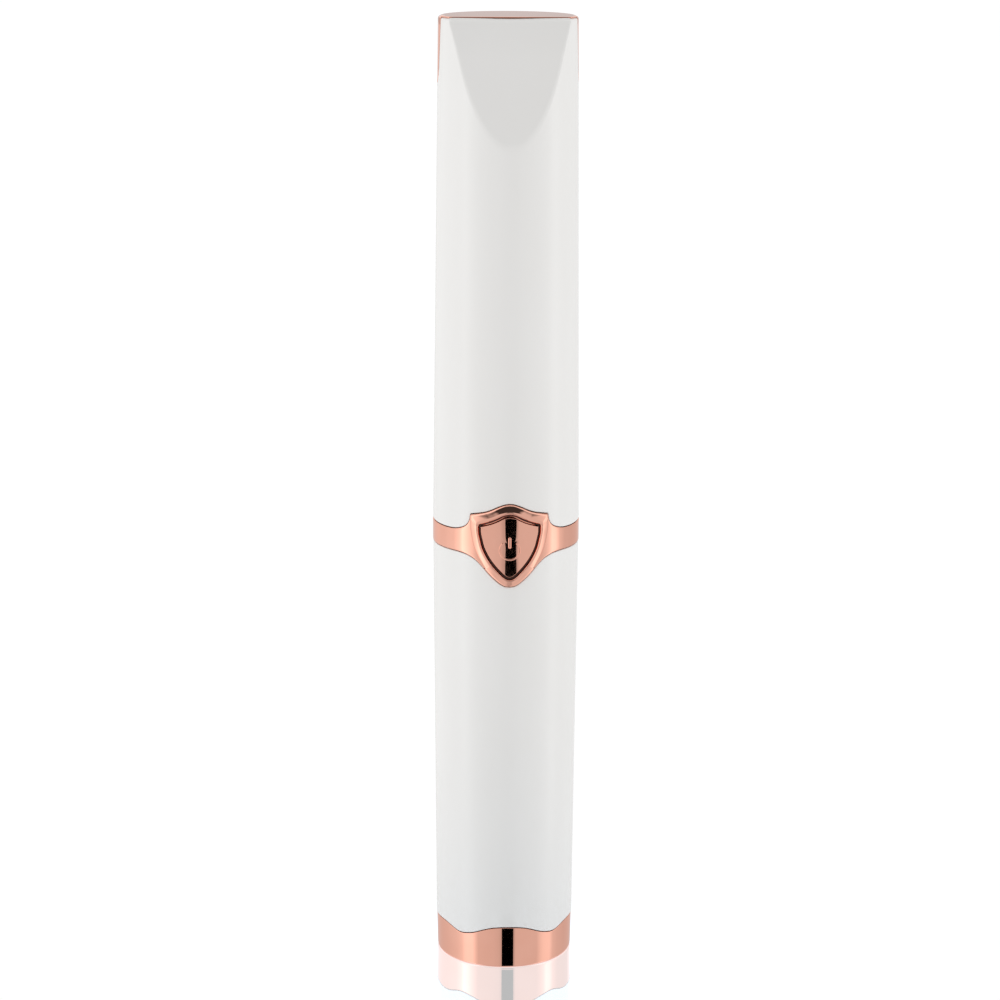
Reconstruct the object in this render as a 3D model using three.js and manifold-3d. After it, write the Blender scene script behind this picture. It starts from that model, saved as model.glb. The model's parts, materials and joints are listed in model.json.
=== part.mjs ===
// Battery-heated eyelash curler: a pen-shaped handle with a heated comb under a pull-off cap.
// Millimetres, +Z up along the pen, standing on the flat bottom of its base cap. The power button faces -Y.
// Everything on the front is cut straight along Y, and everything round is turned about Z.

import * as THREE from "three";
import { mergeVertices } from "three/addons/utils/BufferGeometryUtils.js";
import Module from "manifold-3d";

const wasm = await Module();
wasm.setup();

// ---- Driving dimensions -------------------------------------------------------------------------

const LENGTH = 131; // base to crown, cap on
const R_FOOT = 9.55; // outer radius at the base
const R_WAIST = 10.04; // outer radius at the collar, the widest place
const R_TOP = 9.37; // outer radius at the crown
const COLLAR_LOW = 59.69; // lower edge of the plain part of the collar
const COLLAR_HIGH = 62.96; // upper edge of the plain part of the collar
const COLLAR_PROUD = 0.1; // how far the collar stands out of the shells
const SEAM = 0.12; // gap between shells that meet edge to edge
const ROUND = 48; // segments round the outer shells
const ROUND_INNER = 32; // segments round the inner pieces
const FRONT = 12; // a depth that is outside everything, for cutters

const WALL = 1.1; // cap wall
const BORE = 8.2; // straight bore of the handle shell
const CAP_MOUTH_R = 8.9; // inner radius of the cap below its liner's stop
const LINER_TOP = 78; // the step in the cap that the liner stops against
const ROOF_Z = 128.7; // underside of the cap's roof

const FACET_START = 114.1; // where the flat facet leaves the front of the cap
const FACET_SLOPE = 0.269; // millimetres the facet goes back for each millimetre up
const CROWN_SEAM_Y = -2.2; // vertical front edges of the crown's skirt
const CROWN_LOW = 121.9; // lower edge of the skirt at the sides
const CROWN_REAR = 117.9; // lower edge of the skirt at the rear
const CROWN_THICK = 0.75; // thickness of the skirt
const CROWN_PLATE = 1.1; // thickness of the top plate
const CROWN_LIP = 0.75; // width of the white lip in front of the top plate
const CROWN_ROUND = 0.65; // rounding of the crown's top edge
const FOOT_ROUND = 0.3; // rounding of the base's bottom edge

const BEZEL_R = 10.6; // how far the shield bezel stands out
const BUTTON_R = 10.42; // how far the button's face stands out
const BUTTON_GAP = 0.14; // half the gap round the button
const BUTTON_TRAVEL = 0.4; // stroke of the button
const BUTTON_Z = 60.6; // height of the button's stem

const PANEL_LOW = 53; // the collar, the shield and the button lie between these two levels
const PANEL_HIGH = 70;

const SPIGOT_R = 8.65; // neck sleeve under the collar
const SPIGOT_TOP_R = 8; // neck sleeve inside the cap liner
const SPIGOT_STEP = 69;
const SPIGOT_TOP = 76;
const SLEEVE_BORE = 7.4;

const CELL_R = 5.25; // AAA cell
const CELL_LENGTH = 43.7; // without its positive nub
const CELL_Z = 7.2;
const TUBE_R = 7.2; // battery tube
const TUBE_BORE = 5.45;
const TUBE_LOW = 8;
const TUBE_HIGH = 53.1;

const BOARD_HALF = 4.6; // control board
const BOARD_THICK = 1;
const BOARD_FRONT = -3.9;
const BOARD_LOW = 55.6;
const BOARD_HIGH = 73;
const BOARD_SCREW_X = 2.8;
const BOARD_SCREW_Z = 57.3;

const COMB_LOW = 91.8; // comb head
const COMB_HIGH = 122;
const COMB_HALF = 4.4;
const COMB_FRONT = -1.6;
const COMB_BACK = 0.9;
const SLOT_HALF = 2.15;
const TOOTH_PITCH = 1.4;
const TOOTH_COUNT = 17; // in each of the two rows
const TOOTH_ROW_X = 3.1;
const TOOTH_ROOT_Y = -1.2;
const TOOTH_TIP_Y = -4.3; // at the ends of the rows
const COMB_HOLLOW = 0.8; // how much shorter the middle teeth are, so that the row follows the lid

// ---- Solids from three.js geometry --------------------------------------------------------------

// A closed three.js geometry as a manifold solid, with its faces turned outwards.
function solid(geometry) {
  const bare = geometry.index ? geometry.toNonIndexed() : geometry.clone();
  bare.deleteAttribute("normal");
  bare.deleteAttribute("uv");
  const merged = mergeVertices(bare, 1e-4);
  const index = merged.index.array;
  const place = merged.attributes.position;
  const [a, b, c] = [new THREE.Vector3(), new THREE.Vector3(), new THREE.Vector3()];
  const faces = [];
  let volume = 0;
  for (let i = 0; i < index.length; i += 3) {
    const [p, q, r] = [index[i], index[i + 1], index[i + 2]];
    if (p === q || q === r || p === r) continue;
    faces.push([p, q, r]);
    a.fromBufferAttribute(place, p);
    b.fromBufferAttribute(place, q);
    c.fromBufferAttribute(place, r);
    volume += a.dot(b.cross(c));
  }
  const outward = volume < 0 ? faces.map(([p, q, r]) => [p, r, q]) : faces;
  const triVerts = new Uint32Array(outward.flat());
  return new wasm.Manifold(new wasm.Mesh({ numProp: 3, vertProperties: place.array, triVerts }));
}

// A closed profile of [radius, z] points turned about Z.
function turned(profile, segments = ROUND) {
  const points = [...profile, profile[0]].map(([r, z]) => new THREE.Vector2(r, z));
  return solid(new THREE.LatheGeometry(points, segments).rotateX(Math.PI / 2));
}

const disc = (r, low, high, segments = ROUND_INNER) =>
  turned([[0, low], [r, low], [r, high], [0, high]], segments);

const ring = (inner, outer, low, high, segments = ROUND) =>
  turned([[inner, low], [outer, low], [outer, high], [inner, high]], segments);

function block(x0, x1, y0, y1, z0, z1) {
  const box = new THREE.BoxGeometry(x1 - x0, y1 - y0, z1 - z0);
  return solid(box.translate((x0 + x1) / 2, (y0 + y1) / 2, (z0 + z1) / 2));
}

// A cylinder lying along Y.
const barY = (r, x, z, y0, y1, segments = 16) =>
  solid(new THREE.CylinderGeometry(r, r, y1 - y0, segments).translate(x, (y0 + y1) / 2, z));

// An outline of [x, z] points pushed along Y.
function prismY(outline, y0, y1) {
  const shape = new THREE.Shape(outline.map(([x, z]) => new THREE.Vector2(x, z)));
  const pushed = new THREE.ExtrudeGeometry(shape, { depth: y1 - y0, bevelEnabled: false });
  return solid(pushed.rotateX(Math.PI / 2).translate(0, y1, 0));
}

// An outline of [y, z] points pushed along X, both ways from the middle.
function prismX(outline, half) {
  const shape = new THREE.Shape(outline.map(([y, z]) => new THREE.Vector2(y, z)));
  const pushed = new THREE.ExtrudeGeometry(shape, { depth: 2 * half, bevelEnabled: false });
  const turn = new THREE.Matrix4().makeBasis(
    new THREE.Vector3(0, 1, 0),
    new THREE.Vector3(0, 0, 1),
    new THREE.Vector3(1, 0, 0),
  );
  return solid(pushed.applyMatrix4(turn).translate(-half, 0, 0));
}

// A round wire along a path of [x, y, z] points.
function wire(path, radius, steps, sides = 6) {
  const section = new THREE.Shape(
    Array.from({ length: sides }, (_, i) => {
      const angle = (2 * Math.PI * i) / sides;
      return new THREE.Vector2(radius * Math.cos(angle), radius * Math.sin(angle));
    }),
  );
  const route = new THREE.CatmullRomCurve3(path.map((p) => new THREE.Vector3(...p)));
  return solid(new THREE.ExtrudeGeometry(section, { steps, extrudePath: route, bevelEnabled: false }));
}

const joined = (first, ...others) => others.reduce((sum, piece) => sum.add(piece), first);

const cut = (first, ...others) => others.reduce((left, piece) => left.subtract(piece), first);

// ---- Outlines -----------------------------------------------------------------------------------

const smooth = (points, count) =>
  new THREE.SplineCurve(points.map(([x, z]) => new THREE.Vector2(x, z)))
    .getPoints(count)
    .map((p) => [p.x, p.y]);

// The left half of a symmetric line, mirrored from its right half and run towards the middle.
const mirrored = (half) => half.filter(([x]) => x > 1e-6).map(([x, z]) => [-x, z]).reverse();

const bothHalves = (half) => [...mirrored(half), ...half];

// A closed outline grown by some distance along its normals. It runs anticlockwise or is turned so.
function grown(outline, distance) {
  const area = outline.reduce((sum, [x, z], i) => {
    const [u, w] = outline[(i + 1) % outline.length];
    return sum + x * w - u * z;
  }, 0);
  const line = area < 0 ? [...outline].reverse() : outline;
  return line.map(([x, z], i) => {
    const [ax, az] = line[(i + line.length - 1) % line.length];
    const [bx, bz] = line[(i + 1) % line.length];
    const n1 = new THREE.Vector2(z - az, ax - x).normalize();
    const n2 = new THREE.Vector2(bz - z, x - bx).normalize();
    const mitre = n1.clone().add(n2).normalize();
    const reach = distance / Math.max(0.5, mitre.dot(n1));
    return [x + mitre.x * reach, z + mitre.y * reach];
  });
}

// Right halves, from the middle outwards, of the lines that the collar shows from the front.
const SHIELD_TOP = smooth([[0, 66.8], [1.2, 66.52], [2.4, 65.98], [3.55, 65.58], [5, 65.3]], 7);
const COLLAR_NECK = smooth(
  [[5.2, 65.12], [5.36, 64.4], [5.7, 63.8], [6.4, 63.25], [7.3, 63], [8.7, COLLAR_HIGH]],
  7,
);
const SHIELD_POINT = smooth([[0, 55.28], [0.75, 55.42], [1.8, 56.12], [3.35, 57.66]], 6);
const COLLAR_UNDER = smooth(
  [[3.35, 57.66], [4.63, 58.84], [5.92, 59.45], [7.2, 59.65], [8.7, COLLAR_LOW]],
  5,
);
const SHIELD_SIDE = smooth([[5.2, 65.12], [5.25, 63.6], [4.9, 61.4], [4.28, 59.53], [3.35, 57.66]], 5);
const BUTTON_TOP = smooth([[0, 65.13], [1.6, 64.53], [2.48, 64.13], [3.91, 63.66]], 6);
const BUTTON_SIDE = smooth([[3.87, 62.72], [3.42, 60.6], [2.55, 58.9], [1.14, 57.3], [0, 56.68]], 8);

// Right half of the wavy top edge of the base cap, the same in front and behind.
const BASE_EDGE = smooth(
  [[0, 6.08], [2.37, 5.88], [4.08, 5.28], [5.4, 4.8], [6.38, 4.62], [7.25, 4.8], [8.45, 5.2], [9, 5.15], [9.6, 4.88]],
  12,
);

const COLLAR_UPPER = [...SHIELD_TOP, ...COLLAR_NECK];
const COLLAR_LOWER = [...SHIELD_POINT, ...COLLAR_UNDER.slice(1)];
const shieldHalf = [...SHIELD_TOP, ...SHIELD_SIDE, ...SHIELD_POINT.slice(0, -1).reverse()];
const BEZEL = [...shieldHalf, ...mirrored(shieldHalf)];
const buttonHalf = [...BUTTON_TOP, ...BUTTON_SIDE];
const BUTTON = [...buttonHalf, ...mirrored(buttonHalf)];

// The space between two levels: the front half follows the two lines, and the rear half is plain.
function band(lower, upper, rearLow, rearHigh) {
  const edge = [...bothHalves(lower), [FRONT, rearLow], [FRONT, rearHigh]];
  const top = [...bothHalves(upper)].reverse();
  const front = prismY([...edge, ...top, [-FRONT, rearHigh], [-FRONT, rearLow]], -FRONT, 0);
  return front.add(block(-FRONT, FRONT, 0, FRONT, rearLow, rearHigh));
}

const collarSpace = band(COLLAR_LOWER, COLLAR_UPPER, COLLAR_LOW, COLLAR_HIGH);

// The collar's space grown by the seam, with all that lies below it or above it.
function beyondCollar(upwards) {
  const line = upwards ? COLLAR_LOWER : COLLAR_UPPER;
  const side = upwards ? -SEAM : SEAM;
  const far = upwards ? LENGTH + 9 : -9;
  const plain = (upwards ? COLLAR_LOW : COLLAR_HIGH) + side;
  const ends = [[FRONT, plain - side], [FRONT, far], [-FRONT, far], [-FRONT, plain - side]];
  const closed = [...bothHalves(line), ...ends];
  const front = prismY(grown(closed, SEAM), -FRONT, 0);
  const rear = block(-FRONT, FRONT, -0.001, FRONT, Math.min(plain, far), Math.max(plain, far));
  return front.add(rear);
}

// Outer radius of the closed pen at a height.
const outerR = (z) =>
  z < COLLAR_HIGH
    ? THREE.MathUtils.mapLinear(z, 0, COLLAR_HIGH, R_FOOT, R_WAIST)
    : THREE.MathUtils.mapLinear(z, COLLAR_HIGH, LENGTH, R_WAIST, R_TOP);

// Points of a rounded edge from the side of a turned piece onto its flat end.
function roundedEdge(r, z, up, rounding, steps = 4) {
  return Array.from({ length: steps + 1 }, (_, i) => {
    const angle = (Math.PI / 2) * (i / steps);
    const inward = rounding * (1 - Math.cos(angle));
    return [r - inward, z - up * rounding * (1 - Math.sin(angle))];
  });
}

// The half space in front of the cap's facet, moved back by some wall thickness.
function facetCutter(back) {
  const shift = back / Math.cos(Math.atan(FACET_SLOPE));
  const start = -outerR(FACET_START) + shift;
  const end = start + FACET_SLOPE * (LENGTH + 4 - FACET_START);
  const below = start - FACET_SLOPE * 15;
  const far = -2 * FRONT;
  const outline = [[below, FACET_START - 15], [end, LENGTH + 4], [far, LENGTH + 4], [far, FACET_START - 15]];
  return prismX(outline, FRONT);
}

// Side outline of the crown's skirt, shrunk by a gap.
function skirtOutline(gap) {
  const front = CROWN_SEAM_Y + gap;
  const low = CROWN_LOW + gap;
  const corner = 2;
  const arc = Array.from({ length: 4 }, (_, i) => {
    const angle = (Math.PI / 2) * (i / 3);
    return [front + corner * (1 - Math.cos(angle)), low + corner * (1 - Math.sin(angle))];
  });
  const sweep = [[4.5, low - 1.1], [9.6, CROWN_REAR + gap], [FRONT, CROWN_REAR + gap]];
  return [[front, LENGTH + 3], ...arc, ...sweep, [FRONT, LENGTH + 3]];
}

// ---- Cap ----------------------------------------------------------------------------------------

const capOuter = turned([
  [0, COLLAR_LOW - 3],
  [outerR(COLLAR_HIGH), COLLAR_LOW - 3],
  [outerR(COLLAR_HIGH), COLLAR_HIGH],
  ...roundedEdge(outerR(LENGTH - CROWN_ROUND), LENGTH, 1, CROWN_ROUND),
  [0, LENGTH],
]);

// What the crown takes away from the cap: its skirt at the back and its plate on top.
function crownSpace(gap) {
  const side = ring(outerR(LENGTH) - CROWN_THICK - 0.3 + gap, FRONT, CROWN_REAR - 2, LENGTH + 2);
  const behindSeam = prismX(skirtOutline(gap), FRONT);
  const skirt = side.intersect(behindSeam);
  const rim = ring(outerR(LENGTH) - CROWN_LIP - gap, 2 * FRONT, LENGTH - 3, LENGTH + 3);
  const plate = cut(
    block(-FRONT, FRONT, -FRONT, FRONT, LENGTH - CROWN_PLATE + gap, LENGTH + 2),
    facetCutter(CROWN_LIP + gap),
    cut(rim, behindSeam),
  );
  return skirt.add(plate);
}

function capShell() {
  const cavity = turned([
    [0, COLLAR_LOW - 4],
    [CAP_MOUTH_R, COLLAR_LOW - 4],
    [CAP_MOUTH_R, LINER_TOP],
    [outerR(LINER_TOP) - WALL - 0.35, LINER_TOP],
    [outerR(ROOF_Z) - WALL - 0.35, ROOF_Z],
    [0, ROOF_Z],
  ]);
  const hollow = cut(cavity, facetCutter(WALL));
  return cut(capOuter, facetCutter(0), hollow, crownSpace(0), beyondCollar(false));
}

function capCrown() {
  return cut(capOuter, facetCutter(0)).intersect(crownSpace(0.08));
}

function capLiner() {
  const grip = 8.12;
  return turned([
    [grip + 0.25, SPIGOT_STEP + 0.25],
    [CAP_MOUTH_R - 0.06, SPIGOT_STEP + 0.25],
    [CAP_MOUTH_R - 0.06, LINER_TOP - 0.1],
    [grip, LINER_TOP - 0.1],
    [grip, SPIGOT_STEP + 0.6],
  ], ROUND_INNER);
}

// ---- Collar, button and switch ------------------------------------------------------------------

const HOLE = grown(BUTTON, BUTTON_GAP);
const FLANGE = grown(BUTTON, 0.6);
const POCKET = grown(BUTTON, 0.8);
const COLLAR_BORE = SPIGOT_R + 0.1;
const POCKET_R = 9.75;

function collar() {
  const plain = ring(COLLAR_BORE, R_WAIST + COLLAR_PROUD, PANEL_LOW, PANEL_HIGH).intersect(collarSpace);
  const bezel = ring(COLLAR_BORE, BEZEL_R, PANEL_LOW, PANEL_HIGH).intersect(prismY(BEZEL, -FRONT, 0));
  const pocket = disc(POCKET_R, PANEL_LOW - 1, PANEL_HIGH + 1, ROUND).intersect(prismY(POCKET, -FRONT, 0));
  return cut(plain.add(bezel), pocket, prismY(HOLE, -FRONT, 0));
}

function powerButton() {
  const inner = POCKET_R - 0.55;
  const faceOutline = prismY(grown(BUTTON, -BUTTON_GAP), -FRONT, 0);
  const face = ring(inner, BUTTON_R, PANEL_LOW, PANEL_HIGH).intersect(faceOutline);
  const flange = ring(inner, POCKET_R - 0.05, PANEL_LOW, PANEL_HIGH).intersect(prismY(FLANGE, -FRONT, 0));
  const stem = barY(1.2, 0, BUTTON_Z, -inner - 0.2, PLUNGER_FRONT - 0.1);
  return joined(face, flange, stem);
}

const SWITCH_HALF = 2.1;
const SWITCH_FRONT = BOARD_FRONT - 2;
const PLUNGER_FRONT = SWITCH_FRONT - 0.7;
const PLUNGER_R = 0.9;

function tactSwitch() {
  const [low, high] = [BUTTON_Z - SWITCH_HALF, BUTTON_Z + SWITCH_HALF];
  const can = block(-SWITCH_HALF, SWITCH_HALF, SWITCH_FRONT, BOARD_FRONT, low, high);
  return cut(can, barY(PLUNGER_R + 0.1, 0, BUTTON_Z, SWITCH_FRONT - 1, SWITCH_FRONT + 1.3));
}

const switchPlunger = () => barY(PLUNGER_R, 0, BUTTON_Z, PLUNGER_FRONT, SWITCH_FRONT + 0.7);

// Silicone grommet that closes the sleeve's window round the button's stem.
const WINDOW_HALF = 2.7;

function buttonSeal() {
  const half = WINDOW_HALF - 0.15;
  const plug = block(-half, half, -8.2, -7.5, BUTTON_Z - half, BUTTON_Z + half);
  const rounded = plug.intersect(disc(SPIGOT_R - 0.1, PANEL_LOW, PANEL_HIGH));
  return cut(rounded, barY(1.35, 0, BUTTON_Z, -FRONT, 0));
}

// ---- Handle -------------------------------------------------------------------------------------

// All that lies below the wavy top edge of the base cap, moved up by a seam.
function belowBaseEdge(seam) {
  const raised = BASE_EDGE.map(([x, z]) => [x, z + seam]);
  const side = raised.at(-1)[1];
  const outline = [...bothHalves(raised), [FRONT, side], [FRONT, -2], [-FRONT, -2], [-FRONT, side]];
  return prismY(outline, -FRONT, FRONT);
}

function handleShell() {
  const tube = turned([
    [BORE, 4],
    [outerR(4), 4],
    [outerR(COLLAR_HIGH), COLLAR_HIGH],
    [BORE, COLLAR_HIGH],
  ]);
  return cut(tube, belowBaseEdge(SEAM), beyondCollar(true));
}

function neckSleeve() {
  const skirtR = BORE - 0.1;
  const bead = 0.08;
  const low = TUBE_HIGH + 2.1;
  const sleeve = turned([
    [SLEEVE_BORE, low],
    [skirtR, low],
    [skirtR, COLLAR_LOW],
    [SPIGOT_R, COLLAR_LOW],
    [SPIGOT_R, SPIGOT_STEP],
    [SPIGOT_TOP_R, SPIGOT_STEP],
    [SPIGOT_TOP_R, 72.6],
    [SPIGOT_TOP_R + bead, 73.2],
    [SPIGOT_TOP_R, 73.8],
    [SPIGOT_TOP_R, SPIGOT_TOP],
    [SLEEVE_BORE, SPIGOT_TOP],
  ], ROUND_INNER);
  const window = block(-WINDOW_HALF, WINDOW_HALF, -9, -6, BUTTON_Z - WINDOW_HALF, BUTTON_Z + WINDOW_HALF);
  return cut(sleeve, window);
}

const STRIP_Y = 6.6; // inner face of the negative contact strip
const STRIP_HALF = 1.4;
const FOIL = 0.3; // thickness of the sheet-metal contacts

function batteryTube() {
  const tube = ring(TUBE_BORE, TUBE_R, TUBE_LOW, TUBE_HIGH, ROUND_INNER);
  const ribs = [0, 1, 2, 3].map((i) => {
    const rib = block(TUBE_R - 0.4, BORE - 0.15, -0.5, 0.5, 16, TUBE_HIGH);
    return rib.rotate([0, 0, 45 + 90 * i]);
  });
  const groove = block(-STRIP_HALF - 0.2, STRIP_HALF + 0.2, STRIP_Y - 0.1, BORE, TUBE_LOW - 1, TUBE_HIGH + 1);
  return cut(joined(tube, ...ribs), groove);
}

function boardCarrier() {
  const floor = disc(BORE - 0.15, TUBE_HIGH + 0.1, TUBE_HIGH + 1.9);
  const rails = [-1, 1].map((side) => {
    const middle = side * BOARD_HALF;
    return block(middle - 0.5, middle + 0.5, -4.6, -2.2, TUBE_HIGH + 1, 70.7);
  });
  const room = BOARD_HALF + 0.1;
  const board = block(-room, room, BOARD_FRONT - 0.1, BOARD_FRONT + BOARD_THICK + 0.1, BOARD_LOW - 0.1, 80);
  const tabSlot = block(-1.2, 1.2, -2.5, -1.5, TUBE_HIGH - 1, TUBE_HIGH + 3);
  const strip = STRIP_HALF + 0.2;
  const stripSlot = block(-strip, strip, STRIP_Y - 0.1, BORE, TUBE_HIGH - 1, TUBE_HIGH + 3);
  const bosses = [-1, 1].map((side) => {
    const middle = side * BOARD_SCREW_X;
    return block(middle - 0.9, middle + 0.9, -2.7, -0.9, TUBE_HIGH + 1, BOARD_SCREW_Z + 1.6);
  });
  const holes = [-1, 1].map((side) => barY(0.62, side * BOARD_SCREW_X, BOARD_SCREW_Z, -3, -1.2));
  return cut(joined(floor, ...rails, ...bosses), board, tabSlot, stripSlot, ...holes);
}

function controlBoard() {
  const board = block(-BOARD_HALF, BOARD_HALF, BOARD_FRONT, BOARD_FRONT + BOARD_THICK, BOARD_LOW, BOARD_HIGH);
  const holes = [-1, 1].map((side) =>
    barY(0.7, side * BOARD_SCREW_X, BOARD_SCREW_Z, BOARD_FRONT - 1, BOARD_FRONT + 2),
  );
  return cut(board, ...holes);
}

const driverChip = () => block(-2.1, 0.9, BOARD_FRONT - 1.15, BOARD_FRONT - 0.02, 67.2, 70.8);
const indicatorLed = () => block(2.3, 3.6, BOARD_FRONT - 0.75, BOARD_FRONT - 0.02, 66.9, 68.5);
const capacitor = () => block(2.2, 3.8, BOARD_FRONT - 0.85, BOARD_FRONT - 0.02, 70, 70.9);

const SCREW_R = 0.55;
const SCREW_HEAD_R = 1.05;
const SCREW_HEAD = 0.7;

// A small pan-head screw driven along +Y, with the underside of its head at y.
function screwTowardsRear(x, y, z, length) {
  const head = barY(SCREW_HEAD_R, x, z, y - SCREW_HEAD, y, 12);
  return head.add(barY(SCREW_R, x, z, y - 0.1, y + length, 12));
}

// The same screw driven along -Y.
function screwTowardsFront(x, y, z, length) {
  const head = barY(SCREW_HEAD_R, x, z, y, y + SCREW_HEAD, 12);
  return head.add(barY(SCREW_R, x, z, y - length, y + 0.1, 12));
}

// ---- Battery and contacts -----------------------------------------------------------------------

function batteryCell() {
  const top = CELL_Z + CELL_LENGTH;
  return turned([
    [0, CELL_Z],
    [CELL_R - 0.8, CELL_Z],
    [CELL_R - 0.8, CELL_Z + 0.2],
    [CELL_R, CELL_Z + 0.4],
    [CELL_R, top - 0.4],
    [CELL_R - 0.5, top],
    [1.9, top],
    [1.9, top + 0.8],
    [0, top + 0.8],
  ], ROUND_INNER);
}

function positiveContact() {
  const low = CELL_Z + CELL_LENGTH + 0.85;
  const plate = disc(3.4, low, low + FOIL, 24);
  const tab = block(-0.9, 0.9, -2.3, -2.3 + FOIL, low, 58.5);
  return plate.add(tab);
}

function contactStrip() {
  const upright = block(-STRIP_HALF, STRIP_HALF, STRIP_Y, STRIP_Y + FOIL, 7.9, 55.5);
  const level = block(-STRIP_HALF, STRIP_HALF, -0.6, STRIP_Y + FOIL, 55.2, 55.2 + FOIL);
  return upright.add(level);
}

function negativeContact() {
  const plate = disc(5, 2.7, 2.7 + FOIL, 24);
  const arm = block(-STRIP_HALF, STRIP_HALF, 0, STRIP_Y + FOIL, 2.7, 2.7 + FOIL);
  const tab = block(-STRIP_HALF, STRIP_HALF, STRIP_Y, STRIP_Y + FOIL, 2.7, 7.7);
  return joined(plate, arm, tab);
}

// Conical spring under the cell, wide at the bottom.
function negativeSpring() {
  const turns = 3.5;
  const perTurn = 12;
  const [low, high] = [3.4, 6.75];
  const [wide, narrow] = [4, 2.6];
  const path = Array.from({ length: Math.round(turns * perTurn) + 1 }, (_, i) => {
    const share = i / (turns * perTurn);
    const angle = 2 * Math.PI * turns * share;
    const r = THREE.MathUtils.lerp(wide, narrow, share);
    return [r * Math.cos(angle), r * Math.sin(angle), THREE.MathUtils.lerp(low, high, share)];
  });
  return wire(path, 0.33, path.length - 1);
}

// ---- Base ---------------------------------------------------------------------------------------

const PLUG_R = BORE - 0.15;
const SEAL_Z = 9;
const SEAL_GROOVE = 0.55;

function baseCap() {
  const floor = 1.2;
  const cup = turned([
    [0, 0],
    ...roundedEdge(outerR(FOOT_ROUND), 0, -1, FOOT_ROUND).reverse(),
    [outerR(8), 8],
    [BORE, 8],
    [BORE, floor],
    [0, floor],
  ]);
  return cup.intersect(belowBaseEdge(0));
}

function basePlug() {
  const inner = TUBE_R + 0.15;
  return turned([
    [0, 1.3],
    [PLUG_R, 1.3],
    [PLUG_R, SEAL_Z - SEAL_GROOVE],
    [PLUG_R - 0.5, SEAL_Z - SEAL_GROOVE],
    [PLUG_R - 0.5, SEAL_Z + SEAL_GROOVE],
    [PLUG_R, SEAL_Z + SEAL_GROOVE],
    [PLUG_R, 11.2],
    [PLUG_R - 0.3, 11.6],
    [inner, 11.6],
    [inner, 2.6],
    [0, 2.6],
  ], ROUND_INNER);
}

function baseSeal() {
  const bead = Array.from({ length: 6 }, (_, i) => {
    const angle = (2 * Math.PI * i) / 6;
    return [PLUG_R - 0.16 + 0.24 * Math.cos(angle), SEAL_Z + 0.4 * Math.sin(angle)];
  });
  return turned(bead, ROUND_INNER);
}

// ---- Heated comb --------------------------------------------------------------------------------

const STEM_TOP = 91.6;
const STEM_FLAT = 0.72; // the stem is an oval, this much as deep as it is wide

function headStem() {
  const foot = turned([
    [6.2, 71],
    [SLEEVE_BORE - 0.1, 71],
    [SLEEVE_BORE - 0.1, SPIGOT_TOP + 0.1],
    [SPIGOT_TOP_R, SPIGOT_TOP + 0.1],
    [SPIGOT_TOP_R, 77.4],
    [7.4, 78.6],
    [5.6, 80.2],
    [4, 81.6],
    [0, 81.6],
    [0, 79],
    [4.4, 79],
    [6.2, 77.4],
  ], ROUND_INNER);
  const shaft = new THREE.LatheGeometry(
    [[0, 79.4], [4.9, 79.4], [4.5, 82], [4.1, 86], [4.15, STEM_TOP], [0, STEM_TOP]].map(
      ([r, z]) => new THREE.Vector2(r, z),
    ),
    ROUND_INNER,
  );
  const oval = solid(shaft.rotateX(Math.PI / 2).scale(1, STEM_FLAT, 1));
  const socket = block(-2.3, 2.3, -1.1, 2.15, 87.2, STEM_TOP + 1);
  const channel = block(-2, 2, 0, 2.1, 76, STEM_TOP + 1);
  return cut(foot.add(oval), socket, channel);
}

// Outline of the comb head from the front: straight sides with a round top and softened lower corners.
function combOutline(inset) {
  const half = COMB_HALF - inset;
  const centre = COMB_HIGH - COMB_HALF;
  const arc = Array.from({ length: 9 }, (_, i) => {
    const angle = (Math.PI * i) / 8;
    return [half * Math.cos(angle), centre + half * Math.sin(angle)];
  });
  const low = COMB_LOW + inset;
  return [[-half, low + 1.4], [-half + 1, low], [half - 1, low], [half, low + 1.4], ...arc];
}

// How far forward the comb reaches at a height: the middle is hollowed along an arc.
function toothTip(z) {
  const middle = (COMB_LOW + COMB_HIGH) / 2;
  const share = (z - middle) / ((COMB_HIGH - COMB_LOW) / 2);
  return TOOTH_TIP_Y + COMB_HOLLOW * (1 - share * share);
}

function tooth(x, z) {
  const [half, tip] = [0.26, toothTip(z)];
  const point = [[tip + 0.7, z + half], [tip, z], [tip + 0.7, z - half]];
  const side = [[TOOTH_ROOT_Y, z - half], [TOOTH_ROOT_Y, z + half], ...point];
  return prismX(side, 0.5).translate([x, 0, 0]);
}

const toothHeights = Array.from(
  { length: TOOTH_COUNT },
  (_, i) => (COMB_LOW + COMB_HIGH) / 2 + TOOTH_PITCH * (i - (TOOTH_COUNT - 1) / 2),
);

const SCREW_LOW = 93.4;
const SCREW_HIGH = 120.2;

function combFrame() {
  const plate = prismY(combOutline(0), COMB_FRONT, COMB_BACK);
  const tongue = block(-2.1, 2.1, -0.95, COMB_BACK, 87.5, COMB_LOW + 1);
  const teeth = toothHeights.flatMap((z) => [tooth(-TOOTH_ROW_X, z), tooth(TOOTH_ROW_X, z)]);
  const slot = block(-SLOT_HALF, SLOT_HALF, -6, 6, 95.6, 118.2);
  const holes = [SCREW_LOW, SCREW_HIGH].map((z) => barY(0.62, 0, z, -0.9, COMB_BACK + 1, 12));
  return cut(joined(plate, tongue, ...teeth), slot, ...holes);
}

const BACK_NEAR = COMB_BACK + 0.1;
const BACK_FAR = 4;

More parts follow.
